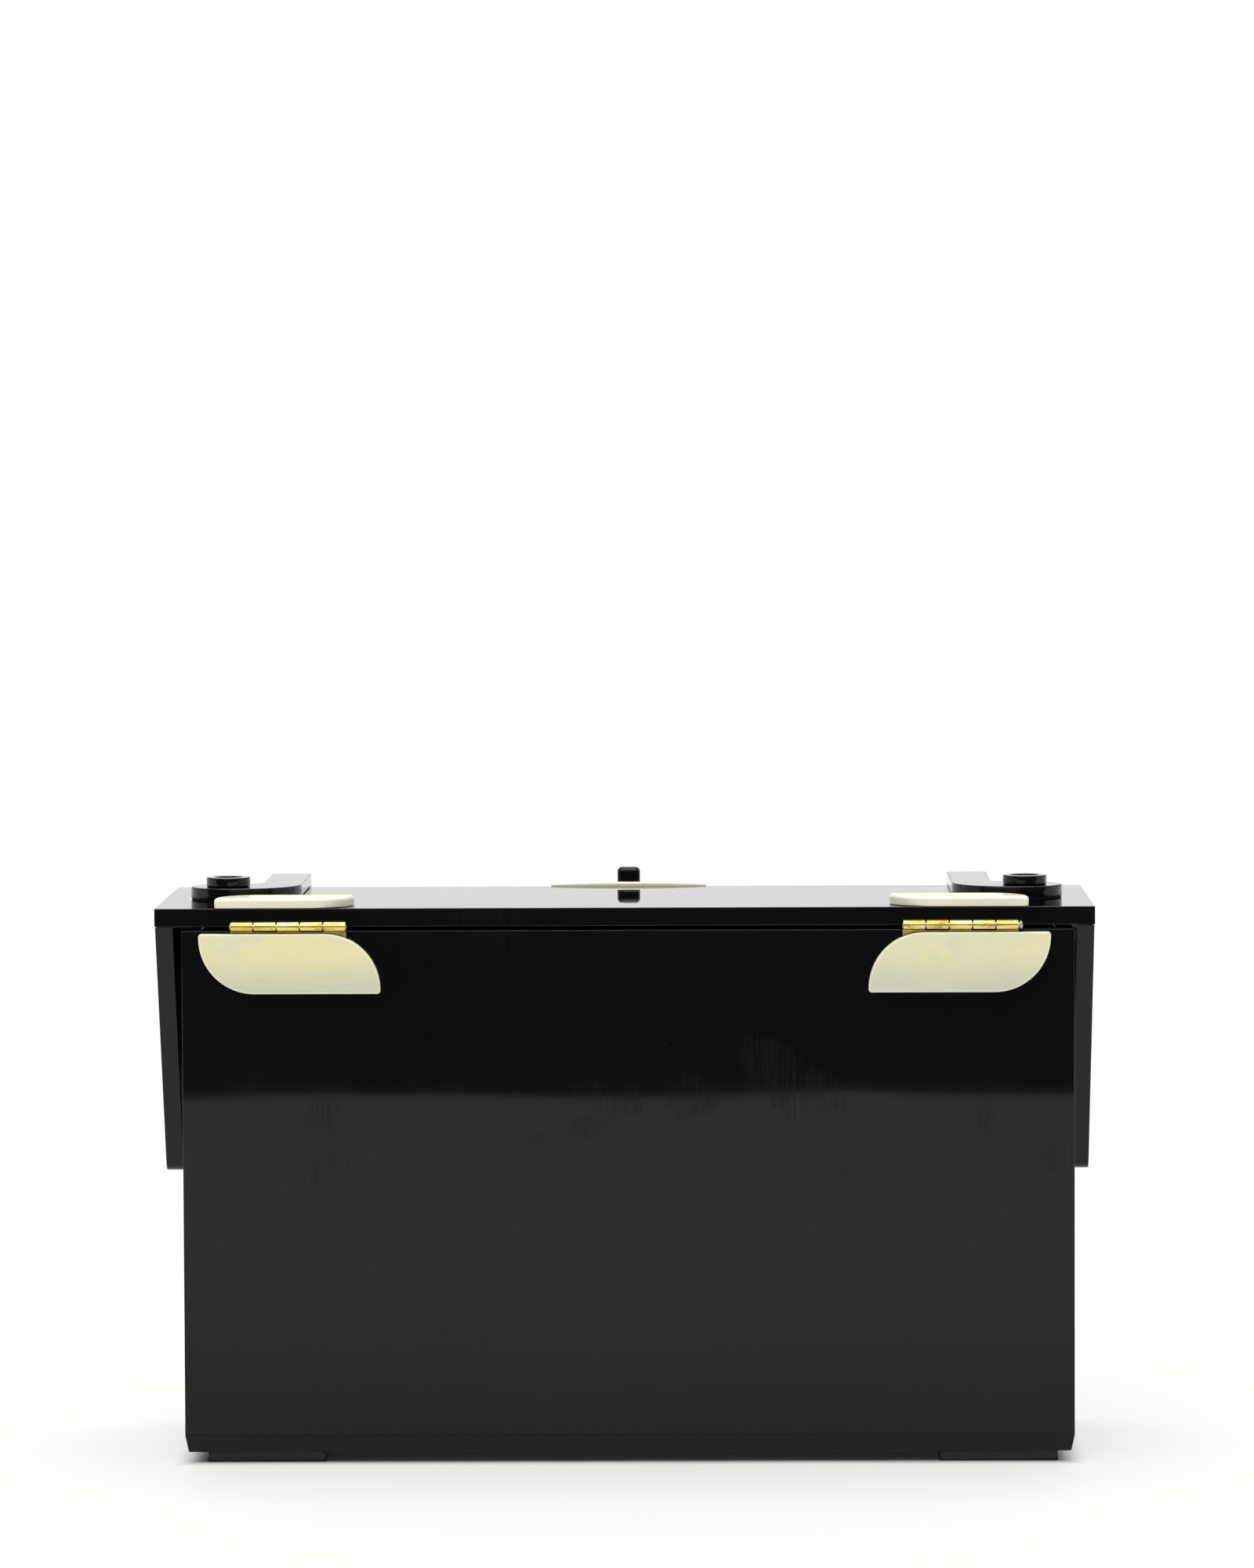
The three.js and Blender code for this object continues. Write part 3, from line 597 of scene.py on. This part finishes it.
def floor_plate():
    """A plate whose underside is drawn in, with rounded arrises."""
    low, high = limits("floor_plate")
    mesh = new_mesh()
    rings = []
    for inset, z in ((FLOOR_TAPER, low[2]), (0, low[2] + FLOOR_TAPER_HEIGHT), (0, high[2])):
        x0, x1, y0, y1 = low[0] + inset, high[0] - inset, low[1] + inset, high[1] - inset
        corners = ((x0, y0), (x1, y0), (x1, y1), (x0, y1))
        rings.append([mesh.verts.new((x, y, z)) for x, y in corners])
    close_rings(mesh, rings)
    top = high[2] - SEAM

    def under_the_panels(edge):
        return all(v.co.z > top for v in edge.verts)

    rounded(mesh, FLOOR_RIM, 4, chosen=lambda edge: not under_the_panels(edge), sharper_than=20)
    return rounded(mesh, SEAM, 1, under_the_panels)


piece("floor_plate", floor_plate(), "case", black_panel)
for node in ("back_panel", "front_panel", "side_panel_right", "side_panel_left"):
    piece(node, sheet_piece(node, True), "case", black_panel)


def foot(node):
    low, high = limits(node)
    outline = cornered(low[0], high[0], low[1], high[1], *[FOOT_CORNER] * 4)
    return rounded(prism(outline, "XY", low[2], high[2]), PAD_RIM)


def keeper():
    low, high = limits("clasp_keeper")
    corners = (KEEPER_CORNER, KEEPER_CORNER, KEEPER_TOP_CORNER, KEEPER_TOP_CORNER)
    outline = cornered(low[0], high[0], low[2], high[2], *corners)
    return rounded(prism(outline, "XZ", low[1], high[1]), KEEPER_RIM, 4)


def lid_rest():
    low, high = right_limits("lid_rest")
    outline = cornered(low[0], high[0], low[1], high[1], *[PAD_CORNER] * 4)
    return rounded(prism(outline, "XY", low[2], high[2]), PAD_RIM)


for side, _ in SIDES:
    for node in ("foot_rear_" + side, "foot_front_" + side):
        piece(node, foot(node), "case", black_worn)
pair("lid_rest", lid_rest, "case", rubber)
piece("clasp_keeper", keeper(), "case", pearl)


# ---- Hinges ----

pin_low, pin_high = right_limits("hinge_pin")
hinge_y = (pin_low[1] + pin_high[1]) / 2
hinge_z = (pin_low[2] + pin_high[2]) / 2
leaf_low, leaf_high = right_limits("hinge_leaf_case")
hinge_inner = leaf_low[0]
knuckle_pitch = (leaf_high[0] - leaf_low[0]) / HINGE_KNUCKLES


def span_of(knuckle):
    start = hinge_inner + knuckle * knuckle_pitch
    return start + KNUCKLE_GAP / 2, start + knuckle_pitch - KNUCKLE_GAP / 2


def curled(knuckle, seam):
    """A knuckle: the leaf's sheet rolled once round the pin, with its seam at an angle."""
    start, end = seam + KNUCKLE_WRAP, seam
    inner = PIN_RADIUS + PIN_PLAY
    ring = arc(0, 0, BARREL_RADIUS, start, end, 40) + arc(0, 0, inner, end, start, 40)
    section = [(hinge_y + a, hinge_z + b) for a, b in ring]
    return rounded(prism(section, "YZ", *span_of(knuckle)), KNUCKLE_RIM, 2)


def case_leaf():
    """The leaf on the back panel, with its first, third and fifth knuckle."""
    low, high = right_limits("hinge_leaf_case")
    faces = (low[1], low[1] + LEAF_SHEET)
    top = hinge_z - BARREL_RADIUS - 0.15
    plate = rounded(slab((low[0], high[0]), faces, (low[2], top)), LEAF_RIM, 2)
    tools = []
    for i in range(0, HINGE_KNUCKLES, 2):
        tools.append(slab(span_of(i), faces, (top - 0.5, hinge_z)))
        tools.append(curled(i, CASE_SEAM))
    return combined(plate, "UNION", *tools)


def lid_leaf():
    """The leaf under the lid, with its second and fourth knuckle."""
    low, high = right_limits("hinge_leaf_lid")
    under = limits("lid_plate")[0][2] - 0.05
    faces = (under - LEAF_SHEET, under)
    rear_edge = limits("lid_plate")[1][1] - 0.3
    plate = rounded(slab((low[0], high[0]), (low[1], rear_edge), faces), LEAF_RIM, 2)
    tools = []
    for i in range(1, HINGE_KNUCKLES, 2):
        tools.append(slab(span_of(i), (rear_edge - 0.5, hinge_y - PIN_RADIUS - 0.2), faces))
        tools.append(curled(i, LID_SEAM))
    return combined(plate, "UNION", *tools)


def hinge_pin(node):
    """A pin with chamfered ends. Where its node is taller than the pin, the outer end has a head."""
    low, high = limits(node)
    start, end = sorted((abs(low[0]), abs(high[0])))
    profile = [(0, start), (PIN_END_RADIUS, start), (PIN_RADIUS, start + 0.2)]
    if high[2] - low[2] > 2 * PIN_RADIUS + 0.5:
        profile += [
            (PIN_RADIUS, end - 1),
            (PIN_HEAD_RADIUS, end - 0.95),
            (PIN_HEAD_RADIUS, end - 0.6),
            (0.95, end - 0.25),
            (0.55, end - 0.05),
        ]
    else:
        profile += [(PIN_RADIUS, end - 0.2), (PIN_END_RADIUS, end)]
    return turned(profile + [(0, end)], "X", (0, hinge_y, hinge_z))


def rivet(base, place, axis, head_first):
    """A rivet whose domed head is at its low or high end."""
    low, high = right_limits(base, place)
    index = "XYZ".index(axis)
    centre = [(a + b) / 2 for a, b in zip(low, high)]
    centre[index] = 0
    ends = (low[index], high[index]) if head_first else (high[index], low[index])
    sign = 1 if head_first else -1
    across = [i for i in range(3) if i != index][0]
    radius = (high[across] - low[across]) / 2
    profile = [
        (0, ends[0]),
        (radius * 0.6, ends[0] + sign * 0.03),
        (radius * 0.9, ends[0] + sign * 0.12),
        (radius, ends[0] + sign * 0.25),
        (radius, ends[0] + sign * 0.35),
        (radius * 0.57, ends[0] + sign * 0.35),
        (radius * 0.57, ends[1]),
        (0, ends[1]),
    ]
    return turned(profile, axis, centre)


pair("hinge_leaf_case", case_leaf, "case", brass)
pair("hinge_leaf_lid", lid_leaf, "lid", brass)
for side, mirror in SIDES:
    node = "hinge_pin_" + side
    piece(node, hinge_pin(node), "case", tarnished if mirror < 0 else brass, mirror)
for where in ("inner", "outer"):
    pair("case_rivet", lambda: rivet("case_rivet", where, "Y", False), "case", brass, (where,))
    pair("lid_rivet", lambda: rivet("lid_rivet", where, "Z", True), "lid", brass, (where,))


# ---- Cover plates ----


def rear_cover():
    """A leaf-shaped plate with two sharp and two wide corners, and a pocket for the hinge leaf."""
    low, high = right_limits("hinge_cover_rear")
    corners = [REAR_COVER_CORNER, REAR_COVER_ARC] * 2
    plate = prism(cornered(low[0], high[0], low[2], high[2], *corners), "XZ", low[1], high[1])
    middle = (low[1] + high[1]) / 2
    rounded(plate, REAR_COVER_RIM, 5, lambda edge: all(v.co.y > middle for v in edge.verts))
    rounded(plate, LYING_RIM, 2, lambda edge: all(v.co.y < middle for v in edge.verts))
    pocket = slab(
        (hinge_inner - POCKET_MARGIN, leaf_high[0] + POCKET_MARGIN),
        (low[1] - 1, low[1] + POCKET_DEPTH),
        (leaf_low[2] - 0.6, high[2] + 1),
    )
    return combined(plate, "DIFFERENCE", pocket)


def top_cover(node, mirror):
    """Half a leaf of the same kind, lying on the lid, with a soft upper rim."""
    low, high = limits(node)
    x0, x1 = sorted((mirror * low[0], mirror * high[0]))
    corners = [TOP_COVER_CORNER, TOP_COVER_ARC] * 2
    plate = prism(cornered(x0, x1, low[1], high[1], *corners), "XY", low[2], high[2])
    middle = (low[2] + high[2]) / 2
    rounded(plate, TOP_COVER_RIM, 6, lambda edge: all(v.co.z > middle for v in edge.verts))
    return rounded(plate, LYING_RIM, 2, lambda edge: all(v.co.z < middle for v in edge.verts))


pair("hinge_cover_rear", rear_cover, "case", pearl_rear)
for side, mirror in SIDES:
    node = "hinge_cover_top_" + side
    piece(node, top_cover(node, mirror), "lid", pearl, mirror)


# ---- Lid ----


def flap():
    """Widest under the lid, tapering evenly down to a tip with round corners."""
    low, high = right_limits("lid_flap")
    middle = (low[1] + high[1]) / 2
    half = (high[1] - low[1]) / 2
    lean = math.atan2(half - FLAP_TIP_HALF, high[2] - low[2])
    corner = FLAP_TIP_HALF - FLAP_CORNER * math.tan(math.pi / 4 - lean / 2)
    tilt = math.degrees(lean)
    outline = (
        [(middle + half, high[2]), (middle - half, high[2])]
        + arc(middle - corner, low[2] + FLAP_CORNER, FLAP_CORNER, 180 + tilt, 270)
        + arc(middle + corner, low[2] + FLAP_CORNER, FLAP_CORNER, 270, 360 - tilt)
    )
    return rounded(prism(outline, "YZ", low[0], high[0]))


def lid_mirror():
    """A sheet of mirror glass with a wide bevel on its lower, visible face."""
    low, high = limits("lid_mirror")
    mesh = new_mesh()
    rings = []
    for inset, z in ((MIRROR_BEVEL, low[2]), (0, low[2] + MIRROR_BEVEL_HEIGHT), (0, high[2])):
        radius = max(MIRROR_CORNER - inset, MIRROR_INNER_CORNER)
        x0, x1, y0, y1 = low[0] + inset, high[0] - inset, low[1] + inset, high[1] - inset
        outline = cornered(x0, x1, y0, y1, *[radius] * 4)
        rings.append([mesh.verts.new((x, y, z)) for x, y in outline])
    close_rings(mesh, rings)
    return rounded(mesh, MIRROR_RIM, 2)


def flap_guide():
    """A strip inside one flap, with round lower corners."""
    low, high = limits("flap_guide")
    corners = (GUIDE_CORNER, GUIDE_CORNER, GUIDE_TOP_CORNER, GUIDE_TOP_CORNER)
    outline = cornered(low[1], high[1], low[2], high[2], *corners)
    return rounded(prism(outline, "YZ", low[0], high[0]), GUIDE_RIM, 2)


piece("lid_plate", sheet_piece("lid_plate"), "lid", black)
piece("flap_guide", flap_guide(), "lid", black_worn)
piece("lid_mirror", lid_mirror(), "lid", silver)
pair("lid_flap", flap, "lid", black)


# ---- Handle arms ----

boss_low, boss_high = right_limits("arm_boss")
disc_x = (boss_low[0] + boss_high[0]) / 2
disc_y = (boss_low[1] + boss_high[1]) / 2


def arm():
    """A disc at the outer end, an elbow inwards and a straight leg forwards."""
    low, high = right_limits("handle_arm")
    outer = low[0] + ARM_LEG_WIDTH
    fillet = (outer + ARM_FILLET, disc_y - ARM_DISC_RADIUS - ARM_FILLET)
    elbow = (low[0] + ARM_ELBOW_RADIUS, disc_y + ARM_DISC_RADIUS - ARM_ELBOW_RADIUS)
    outline = (
        [(low[0], low[1]), (outer, low[1])]
        + arc(*fillet, ARM_FILLET, 180, 90)
        + arc(disc_x, disc_y, ARM_DISC_RADIUS, -90, 90, 40)
        + arc(*elbow, ARM_ELBOW_RADIUS, 90, 180, 30)
    )
    return rounded(prism(outline, "XY", low[2], high[2]), ARM_RIM)


def arm_washer():
    low, high = right_limits("arm_washer")
    radius = (high[0] - low[0]) / 2
    hole = SCREW_HOLE_RADIUS
    profile = [(hole, low[2]), (radius, low[2]), (radius, high[2]), (hole, high[2])]
    return rounded(turned(profile, "Z", (disc_x, disc_y, 0), closed=True), WASHER_RIM, 2)


def arm_boss():
    """A ring with a rounded rim round the recess of its screw."""
    low, high = boss_low[2], boss_high[2]
    radius = (boss_high[0] - boss_low[0]) / 2
    recess_floor = low + RECESS_FLOOR
    profile = [
        (SCREW_HOLE_RADIUS, low),
        (radius, low),
        (radius, high),
        (RECESS_RADIUS, high),
        (RECESS_RADIUS, recess_floor),
        (SCREW_HOLE_RADIUS, recess_floor),
    ]
    return rounded(turned(profile, "Z", (disc_x, disc_y, 0), closed=True), BOSS_RIM, 4)


def arm_screw():
    """A domed screw with a cut slot."""
    low, high = right_limits("arm_screw")
    radius = (high[0] - low[0]) / 2
    top = high[2]
    profile = [
        (0, low[2]),
        (1.0, low[2] + 0.3),
        (SCREW_SHANK_RADIUS, low[2] + 1),
        (SCREW_SHANK_RADIUS, top - 1),
        (radius, top - 1),
        (radius, top - SCREW_SLOT_DEPTH),
        (radius - 0.3, top - 0.25),
        (radius - 1.1, top - 0.07),
        (0, top),
    ]
    screw = turned(profile, "Z", (disc_x, disc_y, 0))
    slot_x = (disc_x - SCREW_SLOT_HALF, disc_x + SCREW_SLOT_HALF)
    slot = slab(slot_x, (disc_y - radius - 1, disc_y + radius + 1), (top - SCREW_SLOT_DEPTH, top + 1))
    return combined(screw, "DIFFERENCE", slot)


pair("handle_arm", arm, "lid", black)
pair("arm_washer", arm_washer, "lid", rubber)
pair("arm_boss", arm_boss, "lid", black)
pair("arm_screw", arm_screw, "lid", brass)


# ---- Handle ----

handle_low, handle_high = right_limits("handle_pin")
handle_y = (handle_low[1] + handle_high[1]) / 2
handle_z = (handle_low[2] + handle_high[2]) / 2


def pivot_block():
    low, high = right_limits("pivot_block")
    radius = (high[1] - low[1]) / 2
    outline = [(handle_y + radius, high[2]), (handle_y - radius, high[2])]
    outline += arc(handle_y, low[2] + radius, radius, 180, 360, 32)
    return rounded(prism(outline, "YZ", low[0], high[0]), BLOCK_RIM)


def handle_pin():
    start, end = handle_low[0], handle_high[0]
    profile = [
        (0, start),
        (0.9, start + 0.05),
        (1.6, start + 0.25),
        (2.05, start + 0.55),
        (2.2, start + 0.8),
        (2.15, start + 0.9),
        (HANDLE_PIN_RADIUS, start + 0.9),
        (HANDLE_PIN_RADIUS, end - 0.15),
        (1.05, end),
        (0, end),
    ]
    return turned(profile, "X", (0, handle_y, handle_z))


def bail():
    """Two legs with round eyes and a grip across the bottom, all with soft edges."""
    low, high = limits("handle_bail")
    inner = high[0] - BAIL_LEG
    grip_top = low[2] + BAIL_GRIP
    outer_turn, inner_turn = BAIL_OUTER_CORNER, BAIL_INNER_CORNER
    outline = (
        [(-inner, high[2]), (low[0], high[2])]
        + arc(low[0] + outer_turn, low[2] + outer_turn, outer_turn, 180, 270, 28)
        + arc(high[0] - outer_turn, low[2] + outer_turn, outer_turn, 270, 360, 28)
        + [(high[0], high[2]), (inner, high[2])]
        + arc(inner - inner_turn, grip_top + inner_turn, inner_turn, 0, -90, 22)
        + arc(inner_turn - inner, grip_top + inner_turn, inner_turn, 270, 180, 22)
    )
    mesh = prism(outline, "XZ", low[1], high[1])
    top = high[2] - SEAM
    eye_radius = (high[1] - low[1]) / 2 - 0.02

    def across_the_top(edge):
        ends = [v.co for v in edge.verts]
        return all(v.z > top for v in ends) and abs(ends[0].y - ends[1].y) < SEAM

    rounded(mesh, eye_radius, 12, across_the_top)
    layer = mesh.faces.layers.float["edge"]
    for face in mesh.faces:
        face[layer] = 0
    return rounded(mesh, BAIL_RIM, 5)


pair("pivot_block", pivot_block, "lid", black)
pair("handle_pin", handle_pin, "lid", brass)
piece("handle_bail", bail(), "handle", black)


# ---- Clasp ----

pivot_low, pivot_high = limits("clasp_pivot")


def clasp_plate():
    """A cream plate with round lower corners and a crowned top edge."""
    low, high = limits("clasp_plate")
    steps = 32
    crest = []
    for i in range(steps + 1):
        across = 1 - 2 * i / steps
        crest.append((high[0] * across, high[2] - CLASP_CROWN * across**2))
    corner_z = low[2] + CLASP_CORNER
    outline = (
        arc(low[0] + CLASP_CORNER, corner_z, CLASP_CORNER, 180, 270)
        + arc(high[0] - CLASP_CORNER, corner_z, CLASP_CORNER, 270, 360)
        + crest
    )
    return rounded(prism(outline, "XZ", low[1], high[1]), CLASP_PLATE_RIM, 4)


def clasp_bar():
    """A flat bar with a round toe and a thumb end with soft corners."""
    low, high = limits("clasp_bar")
    toe = (high[0] - low[0]) / 2 - 0.05
    corners = (toe, toe, CLASP_BAR_CORNER, CLASP_BAR_CORNER)
    outline = cornered(low[0], high[0], low[2], high[2], *corners)
    return rounded(prism(outline, "XZ", low[1], high[1]), CLASP_BAR_RIM, 6)


def clasp_pivot():
    """A domed pivot, head to the front."""
    radius = (pivot_high[0] - pivot_low[0]) / 2
    centre = (0, 0, (pivot_low[2] + pivot_high[2]) / 2)
    front, rear = pivot_low[1], pivot_high[1]
    profile = [
        (0, front),
        (radius * 0.45, front + 0.08),
        (radius * 0.8, front + 0.4),
        (radius * 0.97, front + 0.8),
        (radius, front + 1.2),
        (PIVOT_SHANK_RADIUS, front + 1.2),
        (PIVOT_SHANK_RADIUS, rear),
        (0, rear),
    ]
    return turned(profile, "Y", centre)


piece("clasp_plate", clasp_plate(), "lid", pearl)
piece("clasp_pivot", clasp_pivot(), "lid", brass)
piece("clasp_bar", clasp_bar(), "clasp", black)


# ---- Table, light and camera ----

TABLE_REAR = 0.982  # the table ends this far behind the case
TABLE_FRONT = -9.0
TABLE_HALF = 6.0
TABLE_FILL = 0.555  # painted light that the table glows with of its own, away from the case
FILL_STARTS = (-0.006, 0.004)  # distances outside the floor plate where it starts and is full
FILL_UNDER = 0.025  # share of it that stays under the case, which paints the contact shadow there
WHITE_FROM = 0.28  # the table burns out to plain white between these distances
WHITE_TO = 0.60
WHITE_GLOW = 1.02
STUDIO_LIGHT = 1.08
DARK_LIGHT = 0.14  # in the low band behind the camera, which the back panel mirrors
DARK_FROM_REAR = (0.25, 0.6)  # parts of a direction: towards the rear, and its height
DARK_TO_HEIGHT = (0.10, 0.22)
DIM_HEIGHT = 0.34  # where the studio is dimmer, which draws the round edges
DIM_REACH = (0.12, 0.24)
DIM_SHARE = 0.42
BACKDROP = 1.05  # what the camera sees behind the case


def beside_the_case(n):
    """Nearly zero under the case, rising to one just outside its floor plate: the mask of the table's
    painted glow, whose dip paints the case's contact shadow.
    """
    at = n.add("ShaderNodeSeparateXYZ", Vector=n.place())
    outside = []
    for axis, index in (("X", 0), ("Y", 1)):
        low, high = (v[index] * MM for v in limits("floor_plate"))
        from_middle = n.math("ABSOLUTE", n.math("SUBTRACT", at.outputs[axis], (low + high) / 2))
        outside.append(n.math("SUBTRACT", from_middle, (high - low) / 2))
    return n.mapped(n.math("MAXIMUM", *outside), *FILL_STARTS, FILL_UNDER, 1.0)


def table_material():
    material, n, shader = new_material("table")
    where = n.place()
    grain = n.noise(where, 60.0, 5.0)
    tone = n.mix(grain, (0.355, 0.352, 0.341, 1), (0.365, 0.362, 0.351, 1))
    n.feed(shader.inputs["Base Color"], tone)
    shader.inputs["Roughness"].default_value = 0.6
    shader.inputs["Specular IOR Level"].default_value = 0.2
    shader.inputs["Emission Color"].default_value = (1.0, 0.995, 0.965, 1)
    # Painted light: the table glows, and the glow's dip under the case is a painted contact shadow.
    n.feed(shader.inputs["Emission Strength"], n.math("MULTIPLY", beside_the_case(n), TABLE_FILL))
    distance = n.add("ShaderNodeVectorMath", {"operation": "LENGTH"})
    n.feed(distance.inputs[0], n.place(scale=(1, 1.15, 0)))
    glow = n.add("ShaderNodeEmission", Color=(1.0, 1.0, 0.99, 1), Strength=WHITE_GLOW)
    faded = n.add("ShaderNodeMixShader")
    n.feed(faded.inputs[0], n.mapped(distance.outputs["Value"], WHITE_FROM, WHITE_TO))
    n.feed(faded.inputs[1], shader.outputs[0])
    n.feed(faded.inputs[2], glow.outputs[0])
    output = next(x for x in material.node_tree.nodes if x.type == "OUTPUT_MATERIAL")
    n.feed(output.inputs["Surface"], faded.outputs[0])
    return material


table_mesh = bpy.data.meshes.new("table")
corners = [
    (-TABLE_HALF, TABLE_FRONT, 0),
    (TABLE_HALF, TABLE_FRONT, 0),
    (TABLE_HALF, TABLE_REAR, 0),
    (-TABLE_HALF, TABLE_REAR, 0),
]
table_mesh.from_pydata(corners, [], [(0, 1, 2, 3)])
table = bpy.data.objects.new("table", table_mesh)
bpy.context.scene.collection.objects.link(table)
table_mesh.materials.append(table_material())

world = bpy.data.worlds.new("studio")
world.use_nodes = True
bpy.context.scene.world = world
studio = Nodes(world.node_tree)
background = next(x for x in world.node_tree.nodes if x.type == "BACKGROUND")
direction = studio.add("ShaderNodeTexCoord").outputs["Generated"]
axes = studio.add("ShaderNodeSeparateXYZ", Vector=direction)
to_rear = studio.mapped(axes.outputs["Y"], *DARK_FROM_REAR)
low_band = studio.mapped(axes.outputs["Z"], *DARK_TO_HEIGHT, 1.0, 0.0)
dark = studio.math("MULTIPLY", to_rear, low_band)
lit = studio.mapped(dark, 0.0, 1.0, STUDIO_LIGHT, DARK_LIGHT)
from_dim = studio.math("ABSOLUTE", studio.math("SUBTRACT", axes.outputs["Z"], DIM_HEIGHT))
light = studio.math("MULTIPLY", lit, studio.mapped(from_dim, *DIM_REACH, DIM_SHARE, 1.0))
seen = studio.add("ShaderNodeLightPath").outputs["Is Camera Ray"]
level = studio.add("ShaderNodeMix", {"data_type": "FLOAT"})
studio.feed(level.inputs[0], seen)
studio.feed(level.inputs[2], light)
studio.feed(level.inputs[3], BACKDROP)
studio.feed(background.inputs["Color"], (1.0, 1.0, 1.0, 1))
studio.feed(background.inputs["Strength"], level.outputs[0])


def soft_light(name, location, target, size, power):
    data = bpy.data.lights.new(name, "AREA")
    data.shape = "RECTANGLE"
    data.size, data.size_y = size
    data.energy = power
    lamp = bpy.data.objects.new(name, data)
    bpy.context.scene.collection.objects.link(lamp)
    lamp.location = location
    aim = Vector(target) - Vector(location)
    lamp.rotation_euler = aim.to_track_quat("-Z", "Y").to_euler()


soft_light("overhead", (0.0, -0.35, 1.5), (0, 0, 0.05), (0.8, 0.5), 5.8)
soft_light("behind_camera", (0.25, 1.15, 1.5), (0, 0.1, 0.05), (1.2, 0.8), 10.0)

CAMERA_PLACE = (-0.0282, 1.83295, 0.2781)
CAMERA_YAW = math.radians(0.874)
CAMERA_PITCH = math.radians(3.251)
CAMERA_ROLL = math.radians(-0.241)
SENSOR = 36.0
FOCAL_LENGTH = 159.804

forward = Vector(
    (
        math.sin(CAMERA_YAW) * math.cos(CAMERA_PITCH),
        -math.cos(CAMERA_YAW) * math.cos(CAMERA_PITCH),
        -math.sin(CAMERA_PITCH),
    )
)
level_right = forward.cross(Vector((0, 0, 1))).normalized()
level_up = level_right.cross(forward)
right = math.cos(CAMERA_ROLL) * level_right + math.sin(CAMERA_ROLL) * level_up
up = math.cos(CAMERA_ROLL) * level_up - math.sin(CAMERA_ROLL) * level_right
lens = bpy.data.cameras.new("camera")
lens.sensor_width = SENSOR
lens.lens = FOCAL_LENGTH
lens.clip_start, lens.clip_end = 0.05, 30
camera = bpy.data.objects.new("camera", lens)
bpy.context.scene.collection.objects.link(camera)
turn = Matrix((right, up, -forward)).transposed()
camera.matrix_world = Matrix.Translation(CAMERA_PLACE) @ turn.to_4x4()
bpy.context.scene.camera = camera
bpy.context.scene.view_settings.view_transform = "Standard"
